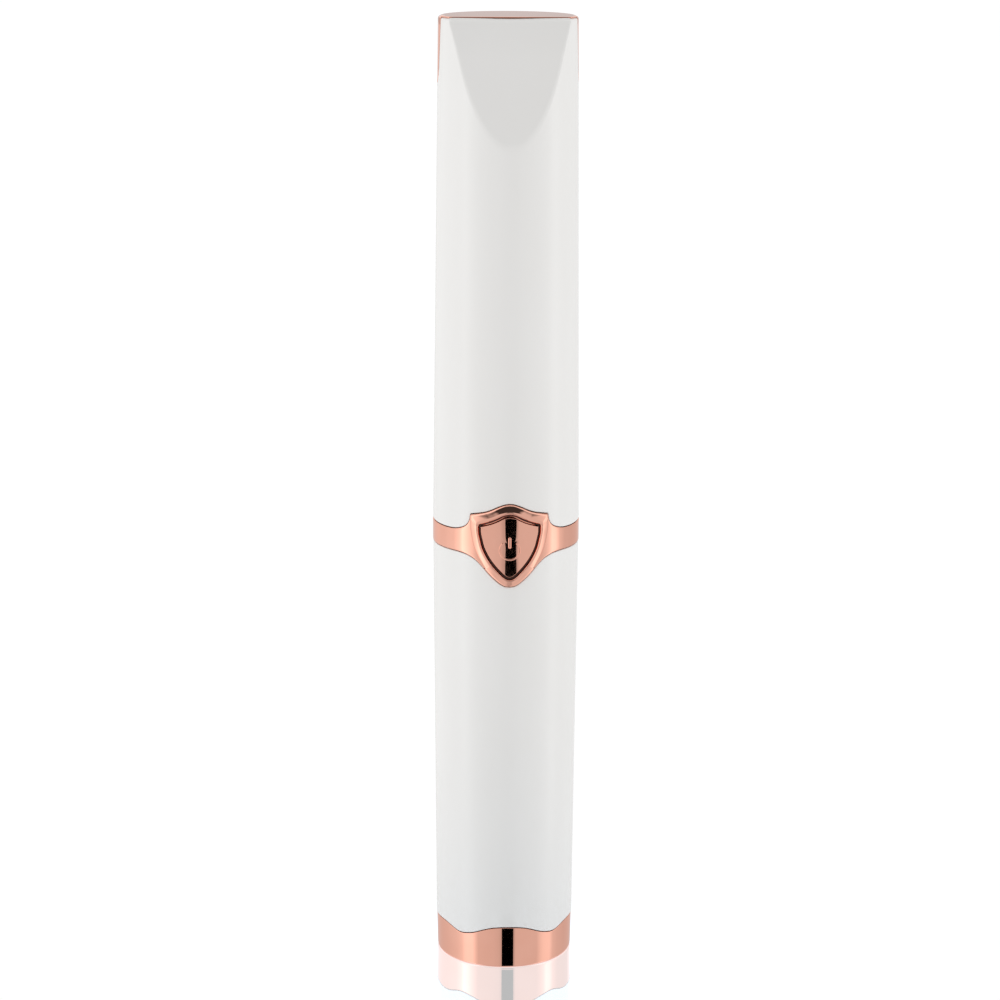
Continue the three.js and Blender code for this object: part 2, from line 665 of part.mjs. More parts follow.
function combBack() {
  const shape = new THREE.Shape(combOutline(0.8).map(([x, z]) => new THREE.Vector2(x, z)));
  const shell = new THREE.ExtrudeGeometry(shape, {
    depth: BACK_FAR - BACK_NEAR - 1.6,
    bevelThickness: 0.8,
    bevelSize: 0.8,
    bevelSegments: 2,
  });
  const body = solid(shell.rotateX(Math.PI / 2).translate(0, BACK_FAR - 0.8, 0));
  const flatFront = block(-9, 9, -9, BACK_NEAR + 0.8, 80, 130);
  const rim = prismY(combOutline(0), BACK_NEAR, BACK_NEAR + 0.9);
  const pocket = block(-2.9, 2.9, 0, 3.1, 95, 118.8);
  const throat = block(-2, 2, 0, 2.3, COMB_LOW - 1, 96);
  const holes = [SCREW_LOW, SCREW_HIGH].flatMap((z) => [
    barY(0.65, 0, z, 0, 6, 12),
    barY(1.2, 0, z, BACK_FAR - 0.9, 6, 12),
  ]);
  return cut(joined(cut(body, flatFront), rim), pocket, throat, ...holes);
}

// Heated bar: its curved nose stands in the comb's slot, and its flange is held behind the frame.
function heaterBar() {
  const [low, high] = [95.8, 118];
  const steps = 8;
  const nose = Array.from({ length: steps + 1 }, (_, i) => {
    const z = THREE.MathUtils.lerp(low, high, i / steps);
    return [toothTip(z) + 1.5, z];
  });
  const bar = prismX([[COMB_BACK + 0.2, low], ...nose, [COMB_BACK + 0.2, high]], SLOT_HALF - 0.25);
  const softened = [-1, 1].map((side) => {
    const edge = block(0, 1.2, -0.6, 0.6, low - 1, high + 1).rotate([0, 0, 45]);
    return edge.translate([side * (SLOT_HALF - 0.25) - 0.42, toothTip(105) + 1.05, 0]);
  });
  const flange = block(-2.7, 2.7, BACK_NEAR + 0.02, BACK_NEAR + 0.42, 95.3, 118.5);
  return cut(bar, ...softened).add(flange);
}

const heaterCore = () => block(-1.6, 1.6, 1.95, 2.5, 97.5, 116.5);

// Resistance wire wound flat round the ceramic core.
function heaterWire() {
  const turns = 7;
  const corners = [[-1.85, 1.72], [1.85, 1.72], [1.85, 2.76], [-1.85, 2.76]];
  const path = Array.from({ length: turns * 4 + 1 }, (_, i) => {
    const [x, y] = corners[i % 4];
    return [x, y, THREE.MathUtils.lerp(98.5, 115.5, i / (turns * 4))];
  });
  const route = new THREE.CurvePath();
  path.slice(1).forEach((point, i) => {
    route.add(new THREE.LineCurve3(new THREE.Vector3(...path[i]), new THREE.Vector3(...point)));
  });
  const even = route.getSpacedPoints(turns * 12).map((p) => p.toArray());
  return wire(even, 0.13, turns * 12, 4);
}

const LEAD_R = 0.38;
const FUSE = [1.5, 0.9]; // where the fuse stands
const FUSE_LOW = 73.5;
const FUSE_HIGH = 77.9;
const LEAD_RUN = [[1.5, 1.05, 79.5], [1.5, 1.42, 86], [1.5, 1.5, 91], [1.5, 1.88, 95], [1.5, 1.88, 97]];

const supplyLead = () =>
  wire([[-3, -2.3, 69.5], [-2.9, -1.9, 72], ...LEAD_RUN.map(([x, y, z]) => [-x, y, z])], LEAD_R, 22);

const returnLeadLow = () =>
  wire([[3, -2.3, 69.5], [2.7, -1.7, 71], [...FUSE, FUSE_LOW - 0.3]], LEAD_R, 7);

const returnLeadHigh = () => wire([[...FUSE, FUSE_HIGH + 0.3], ...LEAD_RUN], LEAD_R, 18);

const thermalFuse = () => disc(1, FUSE_LOW, FUSE_HIGH, 12).translate([...FUSE, 0]);

// ---- Materials ----------------------------------------------------------------------------------

const finish = (color, roughness, metalness = 0) =>
  new THREE.MeshStandardMaterial({ color, roughness, metalness });

const whitePlastic = finish(0xe9e8e6, 0.35);
const roseGold = finish(0xdea58f, 0.15, 1);
const innerPlastic = finish(0xd9d6d0, 0.5);
const charcoalPlastic = finish(0x2a2a2c, 0.5);
const silicone = finish(0x4a4a4c, 0.8);
const boardGreen = finish(0x1f5a3c, 0.5);
const chipBlack = finish(0x1a1a1c, 0.5);
const ledClear = finish(0xf4e9d8, 0.2);
const contactMetal = finish(0xc9c7c1, 0.25, 1);
const cellWrap = finish(0x3b3f46, 0.3, 0.6);
const ceramic = finish(0xe6ded0, 0.7);
const nichrome = finish(0x8a8078, 0.35, 1);
const redLead = finish(0xb3261e, 0.5);
const blackLead = finish(0x202022, 0.5);

// ---- Assembly -----------------------------------------------------------------------------------

// A solid as a named mesh.
function piece(name, made, material) {
  const { numProp, numVert, vertProperties, triVerts } = made.getMesh();
  const positions = new Float32Array(numVert * 3);
  for (let i = 0; i < numVert; i++) {
    positions.set(vertProperties.subarray(i * numProp, i * numProp + 3), i * 3);
  }
  const geometry = new THREE.BufferGeometry();
  geometry.setAttribute("position", new THREE.BufferAttribute(positions, 3));
  geometry.setIndex(new THREE.BufferAttribute(triVerts, 1));
  const mesh = new THREE.Mesh(geometry, material);
  mesh.name = name;
  return mesh;
}

const boardScrew = (side) => screwTowardsRear(side * BOARD_SCREW_X, BOARD_FRONT - 0.02, BOARD_SCREW_Z, 2.4);
const headScrew = (z) => screwTowardsFront(0, BACK_FAR - 0.88, z, 3.4);

const cap = new THREE.Group().add(
  piece("cap_shell", capShell(), whitePlastic),
  piece("cap_crown", capCrown(), roseGold),
  piece("cap_liner", capLiner(), innerPlastic),
);

const button = new THREE.Group().add(
  piece("power_button", powerButton(), roseGold),
  piece("switch_plunger", switchPlunger(), chipBlack),
);

const head = new THREE.Group().add(
  piece("head_stem", headStem(), whitePlastic),
  piece("comb_frame", combFrame(), charcoalPlastic),
  piece("comb_back", combBack(), charcoalPlastic),
  piece("heater_bar", heaterBar(), roseGold),
  piece("heater_core", heaterCore(), ceramic),
  piece("heater_wire", heaterWire(), nichrome),
  piece("supply_lead", supplyLead(), redLead),
  piece("return_lead_lower", returnLeadLow(), blackLead),
  piece("return_lead_upper", returnLeadHigh(), blackLead),
  piece("thermal_fuse", thermalFuse(), contactMetal),
  piece("head_screw_lower", headScrew(SCREW_LOW), contactMetal),
  piece("head_screw_upper", headScrew(SCREW_HIGH), contactMetal),
);

const handle = new THREE.Group().add(
  piece("handle_shell", handleShell(), whitePlastic),
  piece("collar_ring", collar(), roseGold),
  piece("neck_sleeve", neckSleeve(), innerPlastic),
  piece("button_seal", buttonSeal(), silicone),
  piece("battery_tube", batteryTube(), innerPlastic),
  piece("board_carrier", boardCarrier(), innerPlastic),
  piece("control_board", controlBoard(), boardGreen),
  piece("board_screw_left", boardScrew(-1), contactMetal),
  piece("board_screw_right", boardScrew(1), contactMetal),
  piece("tact_switch", tactSwitch().translate([0, -0.02, 0]), chipBlack),
  piece("driver_chip", driverChip(), chipBlack),
  piece("indicator_led", indicatorLed(), ledClear),
  piece("capacitor", capacitor(), ceramic),
  piece("positive_contact", positiveContact(), contactMetal),
  piece("contact_strip", contactStrip(), contactMetal),
);

const base = new THREE.Group().add(
  piece("base_cap", baseCap(), roseGold),
  piece("base_plug", basePlug(), innerPlastic),
  piece("base_seal", baseSeal(), silicone),
  piece("negative_contact", negativeContact(), contactMetal),
  piece("negative_spring", negativeSpring(), contactMetal),
  piece("battery_cell", batteryCell(), cellWrap),
);

const eyelashCurler = new THREE.Group().add(base, handle, head, button, cap);

export default eyelashCurler;
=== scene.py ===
"""Battery-heated eyelash curler, standing on its base with the cap on, in a white studio.

Lengths are in millimetres until a mesh is made. Angles round the pen are counted from the front (-Y)
towards +X. Places on the pen's surface are (arc, height), with arcs measured on a circle of ARC_R.
"""

import json
import math

import bpy
import numpy as np
from mathutils import Matrix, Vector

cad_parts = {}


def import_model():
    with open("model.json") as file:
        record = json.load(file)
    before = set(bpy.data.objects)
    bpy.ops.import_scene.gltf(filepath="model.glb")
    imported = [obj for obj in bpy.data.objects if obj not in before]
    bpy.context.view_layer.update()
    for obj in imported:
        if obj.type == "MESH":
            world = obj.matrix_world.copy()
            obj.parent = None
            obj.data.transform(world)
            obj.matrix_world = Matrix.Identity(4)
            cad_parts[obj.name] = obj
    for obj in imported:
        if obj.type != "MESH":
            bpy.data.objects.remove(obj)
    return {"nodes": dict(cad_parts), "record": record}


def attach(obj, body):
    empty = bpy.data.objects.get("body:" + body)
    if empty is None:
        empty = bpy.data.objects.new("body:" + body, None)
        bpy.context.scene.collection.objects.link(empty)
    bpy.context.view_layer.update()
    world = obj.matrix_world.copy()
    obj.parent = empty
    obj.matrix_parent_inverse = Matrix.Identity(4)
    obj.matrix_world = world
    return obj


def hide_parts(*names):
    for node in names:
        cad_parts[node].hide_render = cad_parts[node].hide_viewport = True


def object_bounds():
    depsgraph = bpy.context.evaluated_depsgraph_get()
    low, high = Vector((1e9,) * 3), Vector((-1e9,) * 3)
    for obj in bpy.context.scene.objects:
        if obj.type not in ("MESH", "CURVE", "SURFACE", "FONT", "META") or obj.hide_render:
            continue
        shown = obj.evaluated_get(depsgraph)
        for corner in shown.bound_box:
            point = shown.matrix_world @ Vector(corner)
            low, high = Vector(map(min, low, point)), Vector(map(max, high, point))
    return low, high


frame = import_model()
cad_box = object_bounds()

MM = 0.001

# ---- Sizes ----

LENGTH = cad_box[1][2] / MM
ARC_R = 10
R_FOOT = 9.55
R_WAIST = 10.04
R_TOP = 9.31
WAIST_Z = 62.96
SEAM = 0.12  # gap between shells
QUARTER = ARC_R * math.pi / 2  # arc of a quarter turn
SOFT_TURN = (0.5, 1.0, 1.57)  # turns round a small rounded edge at which it has rows

COLLAR_LOW = 59.69
COLLAR_HIGH = 62.6
COLLAR_R = 10.07
COLLAR_BORE = 8.8
BEZEL_R = 10.62
BEZEL_FOOT = 9.2
BEZEL_TOP = (64.7, 65.5)  # heights between which the shield's rim turns from a bead into a slope
BUTTON_R = 10.42
BUTTON_DEEP = 9.15
BUTTON_FLANGE = 9.35
BUTTON_Z = 60.6
BUTTON_CENTRE = (0, 61.2)
MARK_R = 1.3  # the power mark: a ring with a gap at its top, and a bar
MARK_Z = 60.41
MARK_GAP = 38  # angle from the ring's top to the gap's end
MARK_BAR = (60.66, 62.24)
# Heights of the dark lip in the bottom of the button's gap, which paints shade into the gap.
GAP_SHADE_LOW = 9.5
GAP_SHADE_HIGH = 10.05

CROWN_SEAM = math.radians(78)  # middle of the slightly leaning edges of the crown's skirt
CROWN_SEAM_LEAN = 0.011  # how much they lean, per millimetre above or below CROWN_SEAM_Z
CROWN_SEAM_Z = 126
CROWN_SIDE_Z = 121.9
CROWN_REAR_Z = 117.9
CROWN_CORNER = 2.0
CROWN_THICK = 0.75
CROWN_ROUND = 0.65
CROWN_FRONT = 0.05  # how far the plate's front edge is set back from the facet
CROWN_EDGE = 0.15
CROWN_LEAN = 0.013  # how much the top plate falls towards the front
CROWN_LEAN_Z = (130.68, 130.85)  # heights between which that sets in
CROWN_LEDGE = 1.3
CROWN_FLARE = 0.03
ROOF_TOP = 129.9
ROOF_LOW = 128.7
LIP_TOP = 130.58  # the white edge in front of the crown's plate
LIP_ROUND = 0.45
LIP_WIDE = 1.0
PLATE_LOW = 130.62
LIP_BOW = 0.14  # how far the line between them rises at the sides

FACET_START = 114.1
FACET_SLOPE = 0.269
FACET_CURL = 0.5  # how much the facet bends in towards its top
FACET_CURL_START = 125.5
FACET_SOFT = 0.22  # rounding of the crease round the facet

FOOT_ROUND = 0.3
FOOT_THICK = 1.2
BORE = 8.2
CAP_WALL = 1.5
CAP_EDGE = 0.12  # rounding of the cap's lower edge
MOUTH_R = 8.9
MOUTH_TOP = 78


def radius(z):
    """Outer radius of the closed pen at a height."""
    return np.interp(z, [0, WAIST_Z, LENGTH], [R_FOOT, R_WAIST, R_TOP])


def facet_depth(z):
    """Distance of the cap's front facet from the pen's axis at a height."""
    curl = np.clip((z - FACET_CURL_START) / (LENGTH - FACET_CURL_START), 0, 1)
    return radius(FACET_START) - FACET_SLOPE * (z - FACET_START) - FACET_CURL * curl**2


def soft_min(a, b, soft):
    """The smaller of two distances, with the crease between them rounded."""
    near = np.clip(0.5 + 0.5 * (b - a) / soft, 0, 1)
    return b + (a - b) * near - soft * near * (1 - near)


# ---- Lines ----


def run_along(line):
    """Length along a line up to each of its points."""
    return np.concatenate([[0], np.cumsum(np.linalg.norm(np.diff(line, axis=0), axis=1))])


def circle(count):
    """Evenly spaced angles right round."""
    return np.linspace(0, 2 * math.pi, count, endpoint=False)


def unit(vectors):
    """Rows made one long."""
    return vectors / np.linalg.norm(vectors, axis=1, keepdims=True)


def even(line, count):
    """A line resampled to evenly spaced points."""
    line = np.asarray(line, float)
    run = run_along(line)
    at = np.linspace(0, run[-1], count)
    return np.stack([np.interp(at, run, line[:, i]) for i in range(line.shape[1])], axis=1)


def smooth(points, count=60):
    """Evenly spaced points on a smooth curve through a few points."""
    p = np.asarray(points, float)
    t = run_along(p)
    slope = np.gradient(p, t, axis=0)
    at = np.linspace(0, t[-1], 24 * len(p))
    i = np.clip(np.searchsorted(t, at, side="right") - 1, 0, len(p) - 2)
    gap = (t[i + 1] - t[i])[:, None]
    w = ((at - t[i]) / (t[i + 1] - t[i]))[:, None]
    curve = (
        (2 * w**3 - 3 * w**2 + 1) * p[i]
        + (w**3 - 2 * w**2 + w) * gap * slope[i]
        + (3 * w**2 - 2 * w**3) * p[i + 1]
        + (w**3 - w**2) * gap * slope[i + 1]
    )
    return even(curve, count)


# Right halves, from the middle outwards.
SHIELD_TOP = smooth(
    [(0, 66.61), (0.6, 66.53), (1.2, 66.33), (1.8, 66.08), (2.4, 65.79)]
    + [(3, 65.55), (3.6, 65.38), (4.4, 65.22), (5.45, 65.03)]
)
NECK = smooth(
    [(5.5, 64.86), (5.6, 64.24), (5.93, 63.64), (6.43, 63.23), (6.95, 63)]
    + [(7.5, 62.84), (8.1, 62.72), (10, COLLAR_HIGH)]
)
POINT = smooth(
    [(0, 55.28), (0.6, 55.36), (1.2, 55.66), (1.8, 56.12), (2.4, 56.64), (3, 57.25), (3.4, 57.69)]
)
UNDER = smooth(
    [(3.4, 57.69), (4.1, 58.37), (4.8, 58.91), (5.5, 59.26), (6.3, 59.51)]
    + [(7.3, 59.64), (8.5, 59.69), (10, COLLAR_LOW)]
)
SHIELD_SIDE = smooth(
    [(5.45, 64.96), (5.5, 63.52), (5.27, 62.03), (4.9, 60.63), (4.4, 59.53), (3.83, 58.58), (3.3, 57.75)]
)
BUTTON_TOP = smooth([(0, 65.13), (0.75, 64.97), (1.6, 64.53), (2.5, 64.13), (3.3, 63.87), (4.0, 63.66)])
BUTTON_SIDE = smooth(
    [(4.02, 63.54), (4.0, 62.72), (3.8, 61.78), (3.54, 60.78), (3.1, 59.79), (2.6, 58.94)]
    + [(1.95, 58.07), (1.3, 57.34), (0.75, 56.8), (0.35, 56.53), (0, 56.46)]
)
BASE_WAVE = smooth(
    [(0, 5.93), (1.3, 5.88), (2.5, 5.7), (3.6, 5.37), (4.4, 5.07), (5.2, 4.79), (6, 4.59), (6.9, 4.43)]
    + [(7.6, 4.41), (8.6, 4.6), (9.6, 4.88), (10.8, 5.07), (12.2, 5.1), (14, 4.98), (QUARTER, 4.92)],
    100,
)
BASE_EDGE = np.concatenate([BASE_WAVE, (BASE_WAVE * (-1, 1))[-2::-1] + (2 * QUARTER, 0)])

COLLAR_UPPER = np.concatenate([SHIELD_TOP, NECK, [(3 * QUARTER, COLLAR_HIGH)]])
COLLAR_LOWER = np.concatenate([POINT, UNDER[1:], [(3 * QUARTER, COLLAR_LOW)]])

# Height of the shield's rim at shares of the way from its outer edge to the button's.
BEZEL_ROWS = [0, 0.02, 0.05, 0.09, 0.14, 0.2, 0.28, 0.38, 0.48, 0.58, 0.67, 0.75, 0.82, 0.88, 0.93, 0.97, 1]
BEZEL_BEAD = (
    [(0, 0), (0.05, 0.34), (0.12, 0.5), (0.25, 0.62), (0.45, 0.75)]
    + [(0.75, 0.95), (0.87, 1), (0.94, 0.94), (1, 0.76)]
)
BEZEL_SLOPE = (
    [(0, 0), (0.05, 0.15), (0.1, 0.27), (0.3, 0.51), (0.7, 0.95)]
    + [(0.79, 1), (0.87, 0.94), (0.94, 0.72), (1, 0.4)]
)


def clear_of(line, gap, side, arc):
    """Height at each arc of an edge that keeps a gap to a line, above it (side 1) or below it (-1)."""
    reach = np.linspace(-gap, gap, 33)
    near = np.interp(np.abs(arc[:, None] + reach), line[:, 0], line[:, 1])
    lifted = side * near + np.sqrt(gap**2 - reach**2)
    return side * lifted.max(axis=1)


def turns(step, *windows):
    """Angles right round, from a step in degrees and windows of (low, high, finer step) on both sides."""
    angles = list(np.arange(0, 180, step)) + [180]
    for low, high, fine in windows:
        angles = [a for a in angles if not low <= a <= high] + list(np.arange(low, high, fine)) + [high]
    half = np.unique(np.round(angles, 4))
    return np.radians(np.concatenate([-half[1:-1][::-1], half]))


# ---- Meshes ----


def polar(r, angle, z):
    """Points from radius, angle round the pen and height."""
    r, angle, z = np.broadcast_arrays(r, angle, z)
    return np.stack([r * np.sin(angle), -r * np.cos(angle), z], axis=-1)


def on_pen(r, places):
    """Points at a radius, from places given as (arc, height)."""
    return polar(r, places[..., 0] / ARC_R, places[..., 1])


def quads(rows, columns, wrap_rows, wrap_columns):
    """Faces of a grid of points, by index."""
    index = np.arange(rows * columns).reshape(rows, columns)
    if wrap_rows:
        index = np.concatenate([index, index[:1]])
    if wrap_columns:
        index = np.concatenate([index, index[:, :1]], axis=1)
    corners = [index[:-1, :-1], index[1:, :-1], index[1:, 1:], index[:-1, 1:]]
    return np.stack([c.ravel() for c in corners], axis=1)


def rounded(corners, sizes, steps=4, hold=0.25):
    """Closed profiles with each corner rounded, and with points beside it that keep the sides straight."""
    corners = np.asarray(corners, float)
    before, after = np.roll(corners, 1, axis=-2), np.roll(corners, -1, axis=-2)
    points = []
    for i, size in enumerate(sizes):
        p = corners[..., i, :]
        a, b = before[..., i, :] - p, after[..., i, :] - p
        long_a = np.linalg.norm(a, axis=-1, keepdims=True) + 1e-9
        long_b = np.linalg.norm(b, axis=-1, keepdims=True) + 1e-9
        cut = np.minimum(size, 0.4 * np.minimum(long_a, long_b))
        start, end = p + a / long_a * cut, p + b / long_b * cut
        points.append(p + a / long_a * np.minimum(cut + hold, 0.45 * long_a))
        for w in np.linspace(0, 1, steps + 1):
            points.append((1 - w) ** 2 * start + 2 * w * (1 - w) * p + w**2 * end)
        points.append(p + b / long_b * np.minimum(cut + hold, 0.45 * long_b))
    return np.stack(points, axis=-2)


def welded(points, faces):
    """Points at one place made one, and the faces that vanish with them dropped."""
    _, first, index = np.unique(np.round(points, 5), axis=0, return_index=True, return_inverse=True)
    kept = []
    for face in index.ravel()[faces]:
        loop = [v for i, v in enumerate(face) if v != face[i - 1]]
        if len(loop) > 2 and len(set(loop)) == len(loop):
            kept.append(loop)
    return points[first], kept


def volume(points, faces):
    """Signed volume inside closed faces."""
    total = 0.0
    for face in faces:
        a, b, c = points[face[0]], points[face[1:-1]], points[face[2:]]
        total += np.einsum("j,ij->", a, np.cross(b, c))
    return total


def piece(name, parts, look, body, *replaced, sharp=40):
    """One object from closed parts of (points in millimetres, faces), on a body in place of CAD nodes."""
    all_points, all_faces, count = [], [], 0
    for points, faces in parts:
        points, faces = welded(np.asarray(points, float).reshape(-1, 3), np.asarray(faces))
        if volume(points, faces) < 0:
            faces = [face[::-1] for face in faces]
        all_points.append(points)
        all_faces += [[v + count for v in face] for face in faces]
        count += len(points)
    mesh = bpy.data.meshes.new(name)
    mesh.from_pydata((np.concatenate(all_points) * MM).tolist(), [], all_faces)
    mesh.validate()
    mesh.shade_smooth()
    mesh.set_sharp_from_angle(angle=math.radians(sharp))
    mesh.materials.append(look.material)
    made = bpy.data.objects.new(name, mesh)
    bpy.context.scene.collection.objects.link(made)
    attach(made, body)
    if replaced:
        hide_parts(*replaced)
    return made


def ring_of(sections):
    """A closed body from closed sections, one for each step right round."""
    sections = np.asarray(sections)
    return sections, quads(sections.shape[0], sections.shape[1], True, True)


def profiles(*corners):
    """A profile for each angle, from corners of (radius, height) that may vary with the angle."""
    values = np.broadcast_arrays(*(value for corner in corners for value in corner))
    return np.stack(values, axis=-1).reshape(-1, len(corners), 2)


def turned(profile, sizes, angles=None, steps=4):
    """A closed profile of (radius, height) corners, or one for each angle, turned about the pen's axis."""
    angles = turns(2) if angles is None else angles
    line = rounded(profile, sizes, steps)
    return ring_of(polar(line[..., 0], angles[:, None], line[..., 1]))


def slab(outer, inner):
    """A closed body between two grids of points that match."""
    rows, columns = outer.shape[:2]
    count = rows * columns
    front = quads(rows, columns, False, False)
    index = np.arange(count).reshape(rows, columns)
    rim = np.concatenate([index[0, :-1], index[:-1, -1], index[-1, :0:-1], index[:0:-1, 0]])
    follow = np.roll(rim, -1)
    wall = np.stack([follow, rim, rim + count, follow + count], axis=1)
    points = np.concatenate([outer.reshape(-1, 3), inner.reshape(-1, 3)])
    return points, np.concatenate([front, front[:, ::-1] + count, wall])


def loft(sections):
    """A closed body through sections with the same number of points, its ends closed flat."""
    sections = np.asarray(sections, float)
    first, last = (np.repeat(sections[i].mean(axis=0)[None], sections.shape[1], axis=0) for i in (0, -1))
    grid = np.stack([first, *sections, last])
    return grid, quads(grid.shape[0], grid.shape[1], False, True)


def soft_square(sides, power):
    """Cosines and sines right round, swollen into a square with soft corners."""
    turn = circle(sides)
    return [np.sign(value) * np.abs(value) ** power for value in (np.cos(turn), np.sin(turn))]


def bar_z(x, y, half_x, half_y, levels, sides=24, power=0.35):
    """A bar with soft corners along the pen; each level is (z, share of its full size)."""
    across, deep = soft_square(sides, power)
    across, deep = half_x * across, half_y * deep
    return loft([np.stack([x + across * s, y + deep * s, across * 0 + z], axis=1) for z, s in levels])


def lying(part, x, y, z):
    """A part made along Z, laid along Y instead and moved."""
    points, faces = part
    return points[..., [0, 2, 1]] * (1, 1, -1) + (x, y, z), faces


def carved(made, *cutters):
    """Closed parts cut out of an object, one after another."""
    for part in cutters:
        tool = piece("cutter", [part], LOOKS["rose_gold"], "handle")
        cut = made.modifiers.new("cut", "BOOLEAN")
        cut.operation, cut.solver, cut.object = "DIFFERENCE", "EXACT", tool
        evaluated = made.evaluated_get(bpy.context.evaluated_depsgraph_get())
        made.data = bpy.data.meshes.new_from_object(evaluated)
        made.modifiers.clear()
        bpy.data.objects.remove(tool)
    made.data.set_sharp_from_angle(angle=math.radians(35))
    return made


def tube(path, width, sides=12):
    """A round wire with closed ends along a path."""
    path = np.asarray(path, float)
    along = unit(np.gradient(path, axis=0))
    side = np.cross(along[0], (0.31, 0.87, 0.38))
    sections = []
    for point, direction in zip(path, along):
        side = side - direction * np.dot(side, direction)
        side /= np.linalg.norm(side)
        up = np.cross(direction, side)
        turn = circle(sides)[:, None]
        sections.append(point + width / 2 * (np.cos(turn) * side + np.sin(turn) * up))
    ends = [np.repeat(path[:1], sides, axis=0), np.repeat(path[-1:], sides, axis=0)]
    grid = np.stack([ends[0], *sections, ends[1]])
    return grid, quads(grid.shape[0], sides, False, True)


# ---- Materials ----


def node(tree, kind, inputs=(), **settings):
    """A new node with its settings and inputs: outputs of other nodes are linked, the rest are values."""
    made = tree.nodes.new(f"ShaderNode{kind}")
    for key, value in settings.items():
        setattr(made, key, value)
    for key, value in dict(inputs).items():
        if isinstance(value, bpy.types.NodeSocket):
            tree.links.new(value, made.inputs[key])
        else:
            made.inputs[key].default_value = value
    return made


class Look:
    """A Principled material on object coordinates, built up by a few plain steps."""

    def __init__(self, slot, **values):
        self.material = bpy.data.materials.new(slot)
        self.material.use_nodes = True
        self.tree = self.material.node_tree
        self.shader = self.tree.nodes["Principled BSDF"]
        for name, value in values.items():
            self.shader.inputs[name.replace("_", " ")].default_value = value
        self.place = node(self.tree, "TexCoord").outputs["Object"]
        self.slot = slot

    def noise(self, size, detail=3.0, stretch=(1, 1, 1)):
        """Noise with features of a size in millimetres, stretched along the axes."""
        scale = [1 / (size * MM * s) for s in stretch]
        place = node(self.tree, "Mapping", {"Vector": self.place, "Scale": scale}).outputs["Vector"]
        return node(self.tree, "TexNoise", {"Vector": place, "Scale": 1, "Detail": detail}).outputs["Fac"]

    def ranged(self, value, low, high, start=0.3, end=0.7):
        """A value from start to end spread over low to high."""
        inputs = {"Value": value, "From Min": start, "From Max": end, "To Min": low, "To Max": high}
        return node(self.tree, "MapRange", inputs).outputs["Result"]

    def feed(self, value, name):
        """A value linked to an input of the shader."""
        self.tree.links.new(value, self.shader.inputs[name])

    def colours(self, value, first, second, start=0.3, end=0.7):
        """Two colours mixed by a value."""
        inputs = {"A": (*first, 1), "B": (*second, 1), "Factor": self.ranged(value, 0, 1, start, end)}
        self.feed(node(self.tree, "Mix", inputs, data_type="RGBA").outputs["Result"], "Base Color")

    def roughness(self, value, low, high):
        """Roughness from low to high by a value."""
        self.feed(self.ranged(value, low, high), "Roughness")

    def relief(self, value, height, below=None):
        """Bump with a height in millimetres, on top of an earlier one."""
        inputs = {"Distance": height * MM, "Height": value} | ({"Normal": below} if below else {})
        normal = node(self.tree, "Bump", inputs).outputs["Normal"]
        self.feed(normal, "Normal")
        return normal


def shell_white():
    """Glossy moulded white plastic with faint flow marks and polish marks."""
    look = Look("shell_white", IOR=1.5, Subsurface_Weight=0.0)
    look.colours(look.noise(9, 4, (1, 1, 3)), (0.806, 0.797, 0.78), (0.822, 0.814, 0.8))
    look.roughness(look.noise(1.6, 5), 0.13, 0.2)
    peel = look.relief(look.noise(1.3, 2), 0.0016)
    look.relief(look.noise(0.16, 3), 0.0005, peel)
    return look


def rose_gold():
    """Plated plastic: a copper-pink mirror with slight orange peel and hairline rubbing."""
    look = Look("rose_gold", Metallic=1.0, Specular_Tint=(0.98, 0.87, 0.84, 1))
    look.colours(look.noise(5, 3), (0.86, 0.445, 0.335), (0.89, 0.475, 0.365))
    look.roughness(look.noise(0.9, 6), 0.03, 0.06)
    peel = look.relief(look.noise(1.6, 2), 0.0002)
    look.relief(look.noise(0.12, 4, (1, 1, 6)), 0.0001, peel)
    return look


def moulded(slot, first, second, rough, grain, height):
    """Plain moulded plastic or rubber with a spark-eroded texture."""
    look = Look(slot)
    look.colours(look.noise(4, 4), first, second)
    look.roughness(look.noise(0.6, 4), rough - 0.06, rough + 0.06)
    look.relief(look.noise(grain, 4), height)
    return look


def metal(slot, first, second, rough, stretch):
    """Bare metal with a drawn or brushed grain."""
    look = Look(slot, Metallic=1.0)
    look.colours(look.noise(2.5, 4), first, second)
    look.roughness(look.noise(0.35, 5, stretch), rough - 0.07, rough + 0.09)
    look.relief(look.noise(0.12, 3, stretch), 0.0012)
    return look


def cell_wrap():
    """Printed foil sleeve of the cell: a dark body and a lighter band near the positive end."""
    look = Look("cell_wrap", Coat_Weight=0.6, Coat_Roughness=0.12, Metallic=0.7)
    height = node(look.tree, "SeparateXYZ", {"Vector": look.place}).outputs["Z"]
    band = look.ranged(height, 0, 1, 0.0395, 0.0397)
    look.colours(band, (0.035, 0.04, 0.05), (0.52, 0.36, 0.2), 0, 1)
    look.roughness(look.noise(0.5, 4, (1, 1, 8)), 0.24, 0.36)
    look.relief(look.noise(0.8, 3), 0.002)
    return look


def board_green():
    """Solder mask over copper tracks."""
    look = Look("board_green", Coat_Weight=0.5, Coat_Roughness=0.15)
    inputs = {"Vector": look.place, "Scale": 700}
    tracks = node(look.tree, "TexVoronoi", inputs, distance="MANHATTAN").outputs["Distance"]
    look.colours(tracks, (0.015, 0.16, 0.06), (0.01, 0.09, 0.035), 0.25, 0.32)
    look.roughness(look.noise(0.5, 3), 0.35, 0.5)
    look.relief(tracks, 0.01)
    return look


def led_clear():
    """Cloudy epoxy of the indicator."""
    look = Look("led_clear", Coat_Weight=0.4)
    look.colours(look.noise(0.5, 2), (0.8, 0.76, 0.66), (0.88, 0.85, 0.78))
    look.roughness(look.noise(0.2, 3), 0.12, 0.25)
    look.relief(look.noise(0.3, 2), 0.002)
    return look


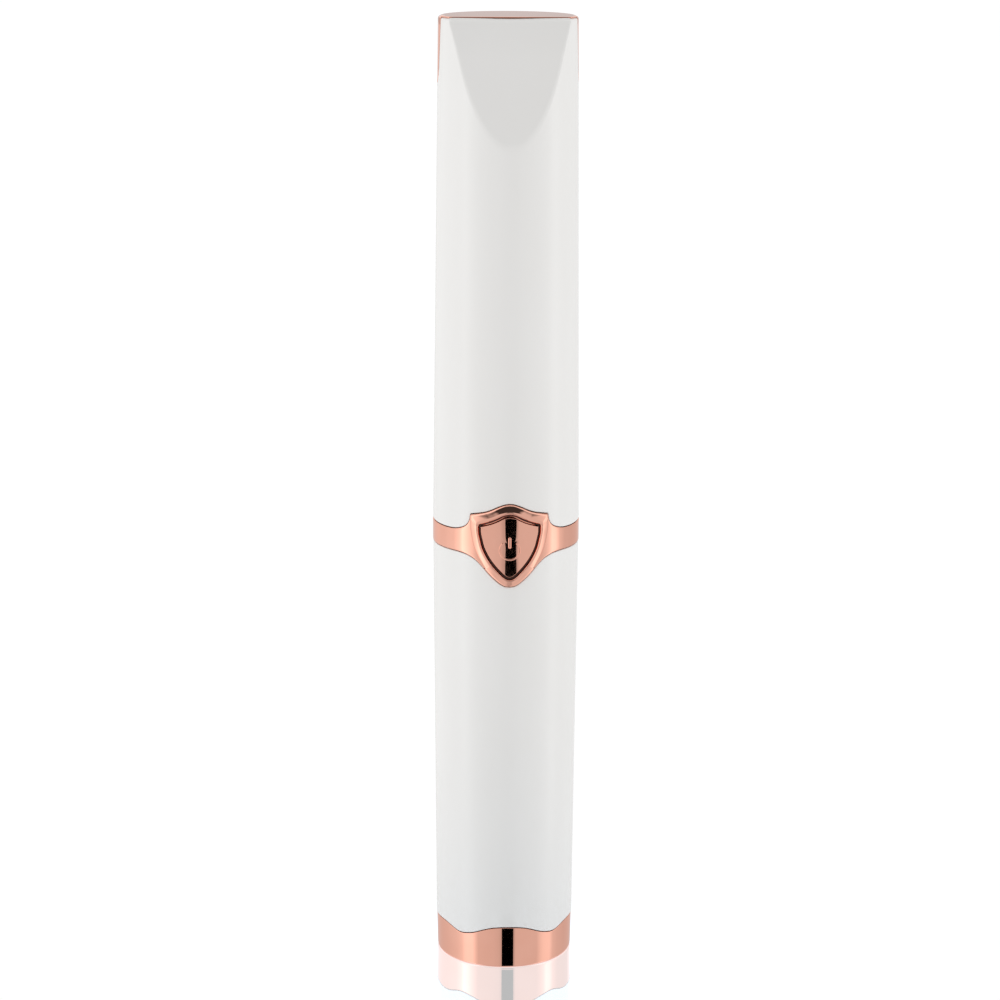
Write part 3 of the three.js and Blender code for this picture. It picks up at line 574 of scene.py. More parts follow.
LOOKS = {
    look.slot: look
    for look in (
        shell_white(),
        rose_gold(),
        moulded("inner_plastic", (0.6, 0.58, 0.54), (0.66, 0.64, 0.6), 0.45, 0.12, 0.002),
        moulded("charcoal_plastic", (0.018, 0.018, 0.02), (0.028, 0.028, 0.031), 0.36, 0.1, 0.002),
        # This dark red-brown also colours the lip in the button's gap, where it is painted shade.
        moulded("silicone", (0.055, 0.022, 0.014), (0.08, 0.034, 0.024), 0.6, 0.2, 0.003),
        board_green(),
        moulded("chip_black", (0.012, 0.012, 0.014), (0.022, 0.022, 0.024), 0.5, 0.08, 0.003),
        led_clear(),
        metal("contact_metal", (0.62, 0.6, 0.56), (0.7, 0.68, 0.64), 0.26, (1, 1, 8)),
        metal("screw_steel", (0.42, 0.41, 0.4), (0.5, 0.49, 0.47), 0.3, (4, 1, 1)),
        cell_wrap(),
        metal("heater_metal", (0.8, 0.42, 0.32), (0.86, 0.47, 0.36), 0.28, (1, 1, 6)),
        moulded("ceramic", (0.72, 0.69, 0.62), (0.8, 0.77, 0.7), 0.6, 0.15, 0.004),
        metal("nichrome", (0.26, 0.23, 0.2), (0.34, 0.3, 0.26), 0.34, (1, 1, 4)),
        moulded("lead_red", (0.42, 0.015, 0.012), (0.5, 0.025, 0.02), 0.4, 0.3, 0.002),
        moulded("lead_black", (0.015, 0.015, 0.016), (0.024, 0.024, 0.026), 0.4, 0.3, 0.002),
    )
}
NODE_LOOKS = {entry["node"]: LOOKS[entry["material_slot"]] for entry in frame["record"]["subparts"]}


def stand_in(node_name, body, *parts, sharp=40):
    """The piece that stands in for a CAD node, in that node's look."""
    return piece(f"{node_name}_fine", parts, NODE_LOOKS[node_name], body, node_name, sharp=sharp)


# ---- Cap ----


def skirt_edge(angle):
    """Height of the lower edge of the crown's skirt, round corner at the seam included."""
    y = -radius(CROWN_SIDE_Z) * np.cos(angle)
    seam_y = -radius(CROWN_SIDE_Z) * math.cos(CROWN_SEAM)
    corner = np.clip(seam_y + CROWN_CORNER - y, 0, CROWN_CORNER)
    lift = CROWN_CORNER - np.sqrt(CROWN_CORNER**2 - corner**2)
    sweep = smooth([(-0.2, CROWN_SIDE_Z), (2, 121.7), (4.5, 120.8), (7, 119.4), (9.6, CROWN_REAR_Z)])
    low = np.interp(y, sweep[:, 0], sweep[:, 1])
    return np.where(np.abs(angle) < CROWN_SEAM - 0.03, CROWN_SIDE_Z + CROWN_CORNER, low + lift)


def leaning(angle, z):
    """Angles near the crown's seam turned a little, so that the seam leans backwards on its way down."""
    near = np.exp(-(((np.abs(angle) - CROWN_SEAM) / 0.15) ** 2))
    return angle + np.sign(angle) * near * CROWN_SEAM_LEAN * np.clip(CROWN_SEAM_Z - z, -5, 5)


def cap_columns(gap):
    """Angles round the cap, and whether each is behind the crown's seam moved back by a gap."""
    fine = turns(1.5, (0, 70, 0.75), (31, 36, 0.12), (70, 84, 0.4), (84, 90, 0.75))
    seam = CROWN_SEAM + gap / R_TOP
    step = 0.004 / R_TOP
    extra = [seam - step, seam + step, -seam + step, -seam - step]
    angle = np.unique(np.concatenate([fine, extra]))
    return angle, np.abs(angle) > seam


def spread(low, high, count):
    """Rows from one height to another, both ends left out."""
    share = np.linspace(0, 1, count + 2)[1:-1]
    return [low + (high - low) * s for s in share]


def cap_shell():
    """The shell: up its outside, round the white lip and the recess for the crown, and down its inside."""
    angle, rear = cap_columns(-SEAM / 2)
    front_cos = np.maximum(np.cos(angle), 0.05)
    arc = np.abs(angle) * R_WAIST
    low = clear_of(COLLAR_UPPER, SEAM, 1, arc)
    skirt = skirt_edge(angle) - SEAM / 2
    under_facet = np.full_like(angle, 112)

    def outside(z, back=0.0):
        return soft_min(radius(z) - back, (facet_depth(z) - back) / front_cos, FACET_SOFT)

    recess = radius(skirt) - CROWN_THICK - SEAM
    lip_top = LIP_TOP + LIP_BOW * np.sin(angle) ** 2
    rows = [(outside(low) - CAP_EDGE, low)]
    for t in SOFT_TURN:
        rows.append((outside(low) - CAP_EDGE * (1 - math.sin(t)), low + CAP_EDGE * (1 - math.cos(t))))
    rows += [(outside(low + 0.4), low + 0.4)]
    rows += [(outside(z), z) for z in (low + (under_facet - low) * share for share in (0.3, 0.7, 1))]
    rows += [(outside(z), z) for z in spread(under_facet, skirt, 72)]
    rows += [(outside(skirt), skirt)]
    top = np.where(rear, ROOF_TOP, lip_top - LIP_ROUND)
    for z in [skirt + 0.003, *spread(skirt + 0.003, top, 56), top]:
        rows.append((np.where(rear, recess, outside(z)), z))
    rim = outside(lip_top - LIP_ROUND)
    lip = np.where(rear, recess, rim - LIP_WIDE)
    for t in (0.25, 0.5, 0.75, 1.0, 1.3, 1.57):
        soft = rim - LIP_ROUND * (1 - math.cos(t))
        high = lip_top - LIP_ROUND * (1 - math.sin(t))
        rows.append((np.where(rear, recess, soft), np.where(rear, ROOF_TOP, high)))
    rows.append((lip, np.where(rear, ROOF_TOP, lip_top)))
    rows += [(lip - 0.01, ROOF_TOP), (0, ROOF_TOP), (0, ROOF_LOW)]
    rows += [(outside(z, CAP_WALL), z) for z in (ROOF_LOW, 127, 125, 123, 120, 117, 115, 112, 100)]
    rows += [(outside(MOUTH_TOP + 0.2, CAP_WALL), MOUTH_TOP + 0.2), (MOUTH_R, MOUTH_TOP)]
    rows += [(MOUTH_R, MOUTH_TOP - 4), (MOUTH_R, low + 0.1), (MOUTH_R + 0.1, low)]
    section = np.stack([polar(r, leaning(angle, z), z) for r, z in rows], axis=1)
    return stand_in("cap_shell", "cap", ring_of(section), sharp=50)


def cap_crown():
    """The top plate and, behind the seam, the skirt that hangs down from it."""
    angle, rear = cap_columns(SEAM / 2)
    front_cos = np.maximum(np.cos(angle), 0.05)
    skirt = skirt_edge(angle) + SEAM / 2
    plate_low = PLATE_LOW + LIP_BOW * np.sin(angle) ** 2
    back = (facet_depth(PLATE_LOW) - CROWN_FRONT) / front_cos
    plate = soft_min(R_TOP - CROWN_FRONT, back, 0.5)
    corner = np.where(rear, CROWN_ROUND, CROWN_EDGE)
    outer = np.where(rear, radius(LENGTH), plate)
    rows = [(0, LENGTH), (outer * 0.6, LENGTH), (outer - corner - 0.15, LENGTH)]
    for t in np.linspace(0, math.pi / 2, 9):
        rows.append((outer - corner * (1 - math.sin(t)), LENGTH - corner * (1 - math.cos(t))))
    low = np.where(rear, skirt + 0.1, np.minimum(plate_low + 0.05, LENGTH - CROWN_EDGE - 0.01))
    for share in (0.03, 0.1, 0.3, 0.6, 0.8, 0.88, 0.94, 1.0):
        z = LENGTH - corner + (low - LENGTH + corner) * share
        flare = CROWN_FLARE * np.clip(1 - (z - skirt) / 0.9, 0, 1) ** 2
        rows.append((np.where(rear, radius(z) + flare, plate), z))
    end = np.where(rear, radius(skirt) + CROWN_FLARE, plate)
    bottom = np.where(rear, skirt, plate_low)
    edge = np.where(rear, 0.1, 0.05)
    rows += [(end - edge * (1 - math.cos(t)), bottom + edge * (1 - math.sin(t))) for t in SOFT_TURN]
    under = ROOF_TOP + SEAM / 2
    inner = np.where(rear, radius(skirt) - CROWN_THICK, plate - 0.01)
    ledge = np.minimum(plate - LIP_WIDE, R_TOP - CROWN_LEDGE)
    ledge_z = np.where(rear, under, plate_low)
    rows += [(inner, bottom), (inner, ledge_z), (np.where(rear, inner - 0.01, ledge), ledge_z)]
    rows += [(np.where(rear, inner - 0.02, ledge), under), (0, under)]
    section = np.stack([polar(r, leaning(angle, z), z) for r, z in rows], axis=1)
    lean = CROWN_LEAN * (R_TOP - section[..., 1])
    section[..., 2] -= lean * np.interp(section[..., 2], CROWN_LEAN_Z, [0, 1])
    return stand_in("cap_crown", "cap", ring_of(section), sharp=50)


def cap_liner():
    """The ring that grips the neck sleeve."""
    profile = [(8.14, 69.6), (8.36, 69.28), (8.84, 69.28), (8.84, 77.8), (8.14, 77.8)]
    return stand_in("cap_liner", "cap", turned(profile, [0.1, 0.05, 0.1, 0.1, 0.15]))


# ---- Collar and button ----


def collar_rows(height):
    """Shares of the way across the band from its lower to its upper edge, and how far each is set back."""
    soft = 0.11
    near = np.array([0, 0.012, 0.04, 0.075, soft, 0.35])
    back = soft - np.sqrt(np.clip(soft**2 - np.clip(soft - near, 0, soft) ** 2, 0, None))
    low = near[None, :] / height[:, None]
    middle = np.linspace(0, 1, 9)[1:-1][None, :]
    middle = low[:, -1:] + (1 - 2 * low[:, -1:]) * middle
    share = np.concatenate([low, middle, 1 - low[:, ::-1]], axis=1)
    return share, np.concatenate([back, np.zeros(middle.shape[1]), back[::-1]])


def collar_band():
    """The plain ring: a strip round the back, and patches whose ends are tucked under the shield's rim."""
    under_rim = SHIELD_SIDE - (0.55, 0)
    count = 70
    upper = even(np.concatenate([[(under_rim[0, 0], 64.88)], [(5.43, 64.87)], NECK]), count)
    lower = even(np.concatenate([[(under_rim[-1, 0] - 0.1, 57.7)], UNDER]), count)
    left = even(under_rim[::-1], 40)
    share, back = collar_rows(upper[:, 1] - lower[:, 1])
    along = np.linspace(0, 1, count)[:, None, None]
    side = np.stack([np.interp(share[0], np.linspace(0, 1, 40), left[:, i]) for i in (0, 1)], axis=1)
    straight = lower[0] + share[0][:, None] * (upper[0] - lower[0])
    patch = lower[:, None] + share[..., None] * (upper - lower)[:, None]
    patch += (1 - along) * (side - straight)[None]
    rear = ARC_R * np.linspace(1.0, math.pi, 60)[1:, None]
    rear_z = COLLAR_LOW + share[-1:] * (COLLAR_HIGH - COLLAR_LOW)
    right = np.concatenate([patch, np.stack(np.broadcast_arrays(rear, rear_z), axis=2)])
    mirrored = right[:-1][::-1] * (-1, 1) + (4 * QUARTER, 0)
    places = np.concatenate([right, mirrored])
    band = slab(on_pen(COLLAR_R - back, places), on_pen(COLLAR_BORE, places))
    return piece("collar_band", [band], LOOKS["rose_gold"], "handle", "collar_ring")


def loop(top, side, count_top=80, count_side=130):
    """A closed outline from its right half: across the top, down the side, and mirrored."""
    half = np.concatenate([even(top, count_top)[:-1], even(side, count_side)])
    return np.concatenate([half, (half[1:-1] * (-1, 1))[::-1]])


def inset(line, distance):
    """A closed outline moved inwards."""
    along = unit(np.roll(line, -1, axis=0) - np.roll(line, 1, axis=0))
    inward = np.stack([along[:, 1], -along[:, 0]], axis=1)
    middle = line.mean(axis=0)
    if np.sum((middle - line) * inward) < 0:
        inward = -inward
    return line + inward * distance


BUTTON_OUTLINE = loop(BUTTON_TOP, BUTTON_SIDE)


def shield_rim():
    """The raised rim round the button: above it a slope up to a ridge beside it, and elsewhere a bead."""
    outer = loop(SHIELD_TOP, np.concatenate([SHIELD_SIDE, POINT[::-1]]))
    inner = inset(BUTTON_OUTLINE, -0.16)
    across = np.array([0, *BEZEL_ROWS, 1, 1])
    bead, slope = (np.interp(across, *np.transpose(profile)) for profile in (BEZEL_BEAD, BEZEL_SLOPE))
    on_top = np.interp(outer[:, 1], BEZEL_TOP, [0, 1])[:, None] ** 0.7
    height = COLLAR_R - 0.02 + (BEZEL_R - COLLAR_R) * (slope * on_top + bead * (1 - on_top))
    height[:, 0] = BEZEL_FOOT
    height[:, -2:] = [BUTTON_FLANGE + 0.1, BUTTON_DEEP - 0.1]
    section = outer[:, None] + across[None, :, None] * (inner - outer)[:, None]
    return piece("shield_rim", [ring_of(on_pen(height, section))], LOOKS["rose_gold"], "handle")


def button_face():
    """The button's face, its bevelled edge and the flange that keeps it from falling out."""
    edge = [(-0.1, BUTTON_DEEP), (-0.1, BUTTON_FLANGE), (0.2, BUTTON_FLANGE), (0.21, BUTTON_R - 0.05)]
    edge += [(0.22, BUTTON_R - 0.025), (0.235, BUTTON_R - 0.008), (0.26, BUTTON_R), (0.275, BUTTON_R)]
    rim = inset(BUTTON_OUTLINE, edge[-1][0])
    middle = rim * 0 + BUTTON_CENTRE
    rows = [(middle, BUTTON_DEEP)] + [(inset(BUTTON_OUTLINE, distance), r) for distance, r in edge]
    rows += [(middle + (rim - middle) * s, BUTTON_R) for s in (0.93, 0.8, 0.6, 0.4, 0.2, 0.0)]
    return ring_of(np.stack([on_pen(r, line) for line, r in rows], axis=1))


def button_gap_shade_lip():
    """A dark brown lip that fills the bottom of the gap round the button: painted shade that darkens the
    gap.
    """
    rows = [(-0.13, GAP_SHADE_LOW), (-0.13, GAP_SHADE_HIGH), (0.02, GAP_SHADE_HIGH), (0.02, GAP_SHADE_LOW)]
    points = np.stack([on_pen(r, inset(BUTTON_OUTLINE, distance)) for distance, r in rows], axis=1)
    return piece("button_gap_shade_lip", [ring_of(points)], LOOKS["silicone"], "handle")


def stroke(path, width, high, sides=9):
    """A raised line on the button's face with round ends and a rounded section."""
    path = np.asarray(path, float)
    along = unit(np.gradient(path, axis=0))
    across = np.stack([-along[:, 1], along[:, 0]], axis=1)
    run = run_along(path)
    to_end = np.minimum(run, run[-1] - run)
    half = width / 2 * np.sqrt(np.clip(1 - (1 - np.clip(to_end / (width / 2), 0.02, 1)) ** 2, 0, 1))
    turn = np.linspace(0, math.pi, sides)
    place = path[:, None] + across[:, None] * (half[:, None] * np.cos(turn))[..., None]
    lift = BUTTON_R - 0.02 + high * (half / (width / 2))[:, None] * np.sin(turn)[None] ** 0.6
    return slab(on_pen(lift, place), on_pen(BUTTON_R - 0.15, place))


def power_button():
    """The button with its raised mark, and the stem that presses the switch."""
    turn = np.radians(np.linspace(MARK_GAP, 360 - MARK_GAP, 60))
    ring = np.stack([MARK_R * np.sin(turn), MARK_Z + MARK_R * np.cos(turn)], axis=1)
    bar = np.stack([np.zeros(24), np.linspace(*MARK_BAR, 24)], axis=1)
    mark = [stroke(ring, 0.24, 0.1), stroke(bar, 0.42, 0.16)]
    stem = turned([(0, -9.5), (1.2, -9.5), (1.2, -6.7), (0, -6.7)], [0, 0.1, 0.1, 0])
    return stand_in("power_button", "button", button_face(), *mark, lying(stem, 0, 0, BUTTON_Z))


# ---- Handle and base ----

SHELL_STEPS = (1.5, (0, 64, 0.6))  # columns of the shells, finer where their edges wave


def handle_shell():
    """The tube between the foot's wave and the collar."""
    angle = turns(*SHELL_STEPS)
    arc = np.abs(angle) * R_WAIST
    low = clear_of(BASE_EDGE, SEAM, 1, arc)
    high = clear_of(COLLAR_LOWER, SEAM, -1, arc)
    corners = profiles((BORE, low), (radius(low), low), (radius(high), high), (BORE, high))
    return stand_in("handle_shell", "handle", turned(corners, [0.1, 0.13, 0.13, 0.1], angle), sharp=50)


def base_cap():
    """The foot: a cup with a wavy edge."""
    angle = turns(*SHELL_STEPS)
    top = np.interp(np.abs(angle) * R_WAIST, BASE_EDGE[:, 0], BASE_EDGE[:, 1])
    outside = [(0, 0), (R_FOOT - 0.1, 0), (radius(top) - 0.05, top)]
    corners = profiles(*outside, (BORE, top), (BORE, FOOT_THICK), (0, FOOT_THICK))
    cup = turned(corners, [0, FOOT_ROUND, 0.07, 0.1, 0.2, 0], angle, steps=6)
    return stand_in("base_cap", "base", cup, sharp=50)


cap_shell()
cap_crown()
cap_liner()
collar_band()
shield_rim()
button_gap_shade_lip()
power_button()
handle_shell()
base_cap()

# ---- Pieces that show when the pen is open ----

SLEEVE_BORE = 7.4
SLEEVE_LOW = 62.75
SLEEVE_R = 8
SLEEVE_TOP = 76
STEM_TOP = 91.6
STEM_FLAT = 0.72
COMB_LOW = 91.8
COMB_HIGH = 122
COMB_HALF = 4.4
COMB_FRONT = -1.6
COMB_BACK = 0.9
BACK_NEAR = 1.0
BACK_FAR = 4.0
SLOT_HALF = 2.15
SLOT = (95.6, 118.2)
TOOTH_PITCH = 1.4
TOOTH_COUNT = 17
TOOTH_ROW_X = 3.1
TOOTH_HALF = (0.44, 0.27)
TOOTH_ROOT = -1.2
TOOTH_TIP = -4.3
COMB_HOLLOW = 0.8
HEAD_SCREWS = (93.4, 120.2)
SCREW_SEAT = BACK_FAR - 0.88
PLUG_R = 8.05
PLUG_BORE = 7.35
SEAL_Z = 9
SPRING_TURNS = 3.5


def neck_sleeve():
    """The sleeve with its snap bead for the cap, and its lower ring inside the handle."""
    upper = [(SLEEVE_BORE, SLEEVE_LOW), (8.5, SLEEVE_LOW), (8.5, 69), (SLEEVE_R, 69), (SLEEVE_R, 72.6)]
    upper += [(8.09, 73.2), (SLEEVE_R, 73.8), (SLEEVE_R, SLEEVE_TOP), (SLEEVE_BORE, SLEEVE_TOP)]
    upper = turned(upper, [0.05, 0.05, 0.14, 0.1, 0.2, 0.3, 0.2, 0.15, 0.12])
    lower = turned([(SLEEVE_BORE, 55.3), (8.05, 55.3), (8.05, 58.3), (SLEEVE_BORE, 58.3)], [0.1] * 4)
    return stand_in("neck_sleeve", "handle", upper, lower)


def head_stem():
    """The round foot that sits in the sleeve, and the oval shaft that carries the comb."""
    foot = [(6.2, 71), (7.3, 71), (7.3, 76.1), (SLEEVE_R, 76.1), (SLEEVE_R, 77.4), (7.4, 78.6)]
    foot += [(5.6, 80.2), (4.2, 81.4), (3.2, 81.4), (3.2, 79), (4.4, 79), (6.2, 77.4)]
    foot = turned(foot, [0.1, 0.1, 0.1, 0.12, 0.5, 1.0, 1.2, 0.4, 0.2, 0.2, 0.5, 0.5])
    angle = turns(3)[:, None]
    shaft = [(4.8, 80.2), (4.6, 82), (4.2, 85), (4.12, 88), (4.16, 91.45), (4.08, STEM_TOP)]
    shaft += [(3.1, STEM_TOP), (3.1, 80.2)]
    r, z = np.transpose(shaft)
    oval = polar(r[None], angle, z[None]) * (1, STEM_FLAT, 1)
    return stand_in("head_stem", "handle", foot, ring_of(oval))


def rounded_box(half, low, high, sizes):
    """A closed outline of (x, z) with four rounded corners."""
    return rounded([(-half, low), (half, low), (half, high), (-half, high)], sizes, 14)


COMB_OUTLINE = rounded_box(COMB_HALF, COMB_LOW, COMB_HIGH, [1.3, 1.3, 5.6, 5.6])


def facing(line, y):
    """An outline of (x, z) stood up at a depth."""
    return np.stack([line[:, 0], np.full(len(line), y), line[:, 1]], axis=1)


def tooth_tip(z):
    """Depth of the hollow line on which the teeth end."""
    share = (z - (COMB_LOW + COMB_HIGH) / 2) / ((COMB_HIGH - COMB_LOW) / 2)
    return TOOTH_TIP + COMB_HOLLOW * (1 - share**2)


def tooth(x, z):
    """A tooth with a rounded tip."""
    tip = tooth_tip(z)
    levels = [(TOOTH_ROOT, 1), (tip + 1.2, 0.98), (tip + 0.7, 0.86)]
    levels += [(tip + 0.3, 0.6), (tip + 0.08, 0.34), (tip, 0.12)]
    across, high = soft_square(12, 0.6)
    across, high = TOOTH_HALF[0] * across, TOOTH_HALF[1] * high
    return loft([np.stack([x + across * s, across * 0 + y, z + high * s], axis=1) for y, s in levels])


def comb_frame():
    """The plate with its slot, the tongue that goes into the stem, and the two rows of teeth."""
    slot = rounded_box(SLOT_HALF, *SLOT, [0.7] * 4)
    outside = [(0.35, COMB_FRONT), (0.12, COMB_FRONT + 0.07), (0, COMB_FRONT + 0.3), (0, COMB_BACK - 0.2)]
    inside = [(-0.1, COMB_BACK), (0, COMB_BACK - 0.15), (0, COMB_FRONT + 0.25), (-0.08, COMB_FRONT + 0.06)]
    rows = [(COMB_OUTLINE, distance, y) for distance, y in [*outside, (0.1, COMB_BACK)]]
    rows += [(slot, distance, y) for distance, y in [*inside, (-0.25, COMB_FRONT)]]
    plate = ring_of(np.stack([facing(inset(line, distance), y) for line, distance, y in rows], axis=1))
    middle = (COMB_LOW + COMB_HIGH) / 2
    heights = [middle + TOOTH_PITCH * (i - (TOOTH_COUNT - 1) / 2) for i in range(TOOTH_COUNT)]
    teeth = [tooth(side * TOOTH_ROW_X, z) for z in heights for side in (-1, 1)]
    tongue = bar_z(0, -0.02, 2.1, 0.9, [(87.6, 0.94), (87.7, 1), (COMB_LOW + 0.6, 1)])
    return stand_in("comb_frame", "handle", plate, tongue, *teeth)


def comb_back():
    """The domed cover, with a sunk seat for each screw."""
    edge = BACK_NEAR + 1.1
    rows = [(0.1, BACK_NEAR), (0, BACK_NEAR + 0.1), (0, edge)]
    for t in np.linspace(0.15, math.pi / 2, 12):
        rows.append((1.1 * (1 - math.cos(t)), edge + (BACK_FAR - edge) * math.sin(t)))
    shell = loft([facing(inset(COMB_OUTLINE, distance), y) for distance, y in rows])
    seat = turned([(0, 0), (1.2, 0), (1.2, 3), (0, 3)], [0] * 4)
    seats = [lying(seat, 0, SCREW_SEAT - 0.02, z) for z in HEAD_SCREWS]
    return carved(stand_in("comb_back", "handle", shell), *seats)


def heater_bar():
    """The bar in the slot, its front following the hollow of the teeth."""
    across, round_y = soft_square(28, 0.7)
    across = across * (SLOT_HALF - 0.25)
    levels = [(95.8, 0.8), (95.95, 0.95), (96.2, 1)] + [(z, 1) for z in np.linspace(97, 117, 21)]
    sections = []
    for z, share in [*levels, (117.7, 0.95), (118, 0.8)]:
        nose = tooth_tip(z) + 1.5
        deep = (COMB_BACK + 0.1 - nose) / 2
        places = [across * share, nose + deep + round_y * deep * share, across * 0 + z]
        sections.append(np.stack(places, axis=1))
    return stand_in("heater_bar", "handle", loft(sections))


def head_screw(name, z):
    """A screw with a round head and a cross slot."""
    head_high = 0.7
    profile = [(0, -3), (0.55, -3), (0.55, 0), (1.05, 0), (1.05, head_high), (0, head_high)]
    screw = turned(profile, [0, 0.2, 0.02, 0.05, 0.28, 0], turns(12))
    made = stand_in(name, "handle", lying(screw, 0, SCREW_SEAT, z))
    blades = [bar_z(0, 0, a, b, [(-0.4, 1), (0.9, 1)], 8, 0.3) for a, b in ((0.62, 0.13), (0.13, 0.62))]
    return carved(made, *[lying(blade, 0, SCREW_SEAT + head_high, z) for blade in blades])


def base_plug():
    """The cup that holds the foot in the handle, with a groove for its seal ring."""
    floor_z, top_z = 2.6, 11.6
    profile = [(0, 1.3), (PLUG_R, 1.3)]
    profile += [(PLUG_R, SEAL_Z - 0.55), (PLUG_R - 0.5, SEAL_Z - 0.55)]
    profile += [(PLUG_R - 0.5, SEAL_Z + 0.55), (PLUG_R, SEAL_Z + 0.55)]
    profile += [(PLUG_R, top_z), (PLUG_BORE, top_z), (PLUG_BORE, floor_z), (0, floor_z)]
    sizes = [0, 0.15, 0.1, 0.08, 0.08, 0.1, 0.3, 0.15, 0.3, 0]
    return stand_in("base_plug", "base", turned(profile, sizes))


def base_seal():
    """The seal ring in the plug's groove."""
    turn = circle(16)
    r, z = PLUG_R - 0.16 + 0.24 * np.cos(turn), SEAL_Z + 0.4 * np.sin(turn)
    return stand_in("base_seal", "base", ring_of(polar(r, turns(3)[:, None], z)))


def battery_cell():
    """A cell of AAA size, its negative end down."""
    profile = [(0, 7.2), (4.45, 7.2), (4.45, 7.4), (5.25, 7.4)]
    profile += [(5.25, 50.9), (1.9, 50.9), (1.9, 51.7), (0, 51.7)]
    return stand_in("battery_cell", "base", turned(profile, [0, 0.1, 0.05, 0.35, 0.45, 0.1, 0.25, 0]))


def negative_spring():
    """The tapering coil under the cell."""
    share = np.linspace(0, 1, 150)
    angle = 2 * math.pi * SPRING_TURNS * share
    r = 4 - 1.4 * share
    path = np.stack([r * np.cos(angle), r * np.sin(angle), 3.4 + 3.35 * share], axis=1)
    return stand_in("negative_spring", "base", tube(path, 0.66, 10))


neck_sleeve()
head_stem()
comb_frame()
comb_back()
heater_bar()
for screw_name, screw_z in zip(("head_screw_lower", "head_screw_upper"), HEAD_SCREWS):
    head_screw(screw_name, screw_z)
base_plug()
base_seal()
battery_cell()
negative_spring()

# ---- Looks of the CAD nodes that stay ----

for name, cad_node in frame["nodes"].items():
    cad_node.data.materials.clear()
    cad_node.data.materials.append(NODE_LOOKS[name].material)

# ---- Studio ----

scene = bpy.context.scene
scene.view_settings.view_transform = "Standard"
scene.view_settings.look = "None"

WORLD_LEVEL = 0.74
FLOOR_SPREAD = 3000
PATCH_AWAY = 22
PATCH_R = 26
FLOOR_LEVEL = 1.02
LIGHTS_NOTHING = dict(diffuse=False, transmission=False, shadow=False, volume_scatter=False)
SOFTBOX_SIZE = (500, 700)
SOFTBOX_AWAY = 700
SOFTBOX_AIM = 65
SOFTBOX_ELEVATION = math.radians(3)
SOFTBOX_AZIMUTH = math.radians(88)
VIEWER_AZIMUTH = math.radians(-3)
CAMERA_PLACE = (-18.589, -354.707, 147.38)
CAMERA_LENS = 95.194
CAMERA_TURN = math.radians(-2.867)
CAMERA_TILT = math.radians(13.06)
CAMERA_ROLL = math.radians(0.244)


def world():
    """Even white light from all round."""
    made = bpy.data.worlds.new("studio")
    made.use_nodes = True
    inputs = made.node_tree.nodes["Background"].inputs
    inputs["Color"].default_value = (1, 1, 1, 1)
    inputs["Strength"].default_value = WORLD_LEVEL
    scene.world = made


def stage_mesh(name, points, faces, material, **seen):
    """A mesh of the studio, and which rays see it."""
    mesh = bpy.data.meshes.new(name)
    mesh.from_pydata((np.asarray(points, float) * MM).tolist(), [], np.asarray(faces).tolist())
    mesh.materials.append(material)
    made = bpy.data.objects.new(name, mesh)
    scene.collection.objects.link(made)
    for ray, visible in seen.items():
        setattr(made, f"visible_{ray}", visible)
    return made


def bare(name):
    """A material with no nodes yet, and its tree."""
    made = bpy.data.materials.new(name)
    made.use_nodes = True
    made.node_tree.nodes.clear()
    return made, made.node_tree


def floor():
    """Pale floor that runs into the white behind it, polished in a patch in front of the pen."""
    made, tree = bare("floor")
    plain = node(tree, "Emission", {"Strength": FLOOR_LEVEL}).outputs[0]
    lit = node(tree, "Emission", {"Strength": 0.5}).outputs[0]
    gloss = node(tree, "BsdfGlossy", {"Color": (0.6, 0.7, 0.8, 1), "Roughness": 0.02}).outputs[0]
    polished = node(tree, "AddShader", {0: lit, 1: gloss}).outputs[0]
    place = {0: node(tree, "TexCoord").outputs["Object"], 1: (0, -PATCH_AWAY * MM, 0)}
    away = node(tree, "VectorMath", place, operation="DISTANCE").outputs["Value"]
    fade = {"Value": away, "From Min": PATCH_R * MM, "From Max": 1.6 * PATCH_R * MM}
    fade = node(tree, "MapRange", fade, interpolation_type="SMOOTHSTEP").outputs["Result"]
    mix = node(tree, "MixShader", {0: fade, 1: polished, 2: plain}).outputs[0]
    node(tree, "OutputMaterial", {"Surface": mix})
    s = FLOOR_SPREAD
    stage_mesh("floor", [(-s, -s, 0), (s, -s, 0), (s, s, 0), (-s, s, 0)], [(0, 1, 2, 3)], made)


def backdrop():
    """White surround that only the camera sees."""
    made, tree = bare("backdrop")
    glow = node(tree, "Emission", {"Strength": FLOOR_LEVEL}).outputs[0]
    node(tree, "OutputMaterial", {"Surface": glow})
    s = FLOOR_SPREAD * 0.99
    corners = [(x, y, z) for z in (-s, s) for x, y in ((-s, -s), (s, -s), (s, s), (-s, s))]
    faces = [(0, 1, 5, 4), (1, 2, 6, 5), (2, 3, 7, 6), (3, 0, 4, 7), (4, 5, 6, 7)]
    stage_mesh("backdrop", corners, faces, made, glossy=False, **LIGHTS_NOTHING)


# Brightness that the pen mirrors to the viewer, by the angle on the pen: near its foot, and further away.
CARD_LEVELS = [
    (-89.5, 0.76, 0.8), (-80, 0.78, 0.86), (-70, 0.8, 0.95), (-60, 0.84, 0.95), (-48, 0.93, 1.04),
    (-42, 1.05, 1.35), (-39, 1.25, 1.8), (-36, 1.3, 1.6), (-31, 1.3, 1.2), (-27.5, 1.0, 0.95),
    (-25.5, 0.84, 0.84), (-12, 0.8, 0.8), (-7.2, 0.74, 0.76), (-4.8, 0.6, 0.6), (5.4, 0.55, 0.55),
    (7, 0.78, 0.78), (12, 0.8, 0.8), (26, 0.8, 0.8), (30, 1.0, 0.92), (33, 1.1, 1.1),
    (36, 1.13, 1.5), (40, 1.13, 1.4), (44, 0.87, 0.95), (50, 0.78, 0.76), (60, 0.73, 0.73),
    (72, 0.74, 0.76), (80, 0.76, 0.82), (89.5, 0.76, 0.8),
]  # fmt: skip
CARD_FADE = (20, 90)  # distances on the floor between which the first brightness becomes the second
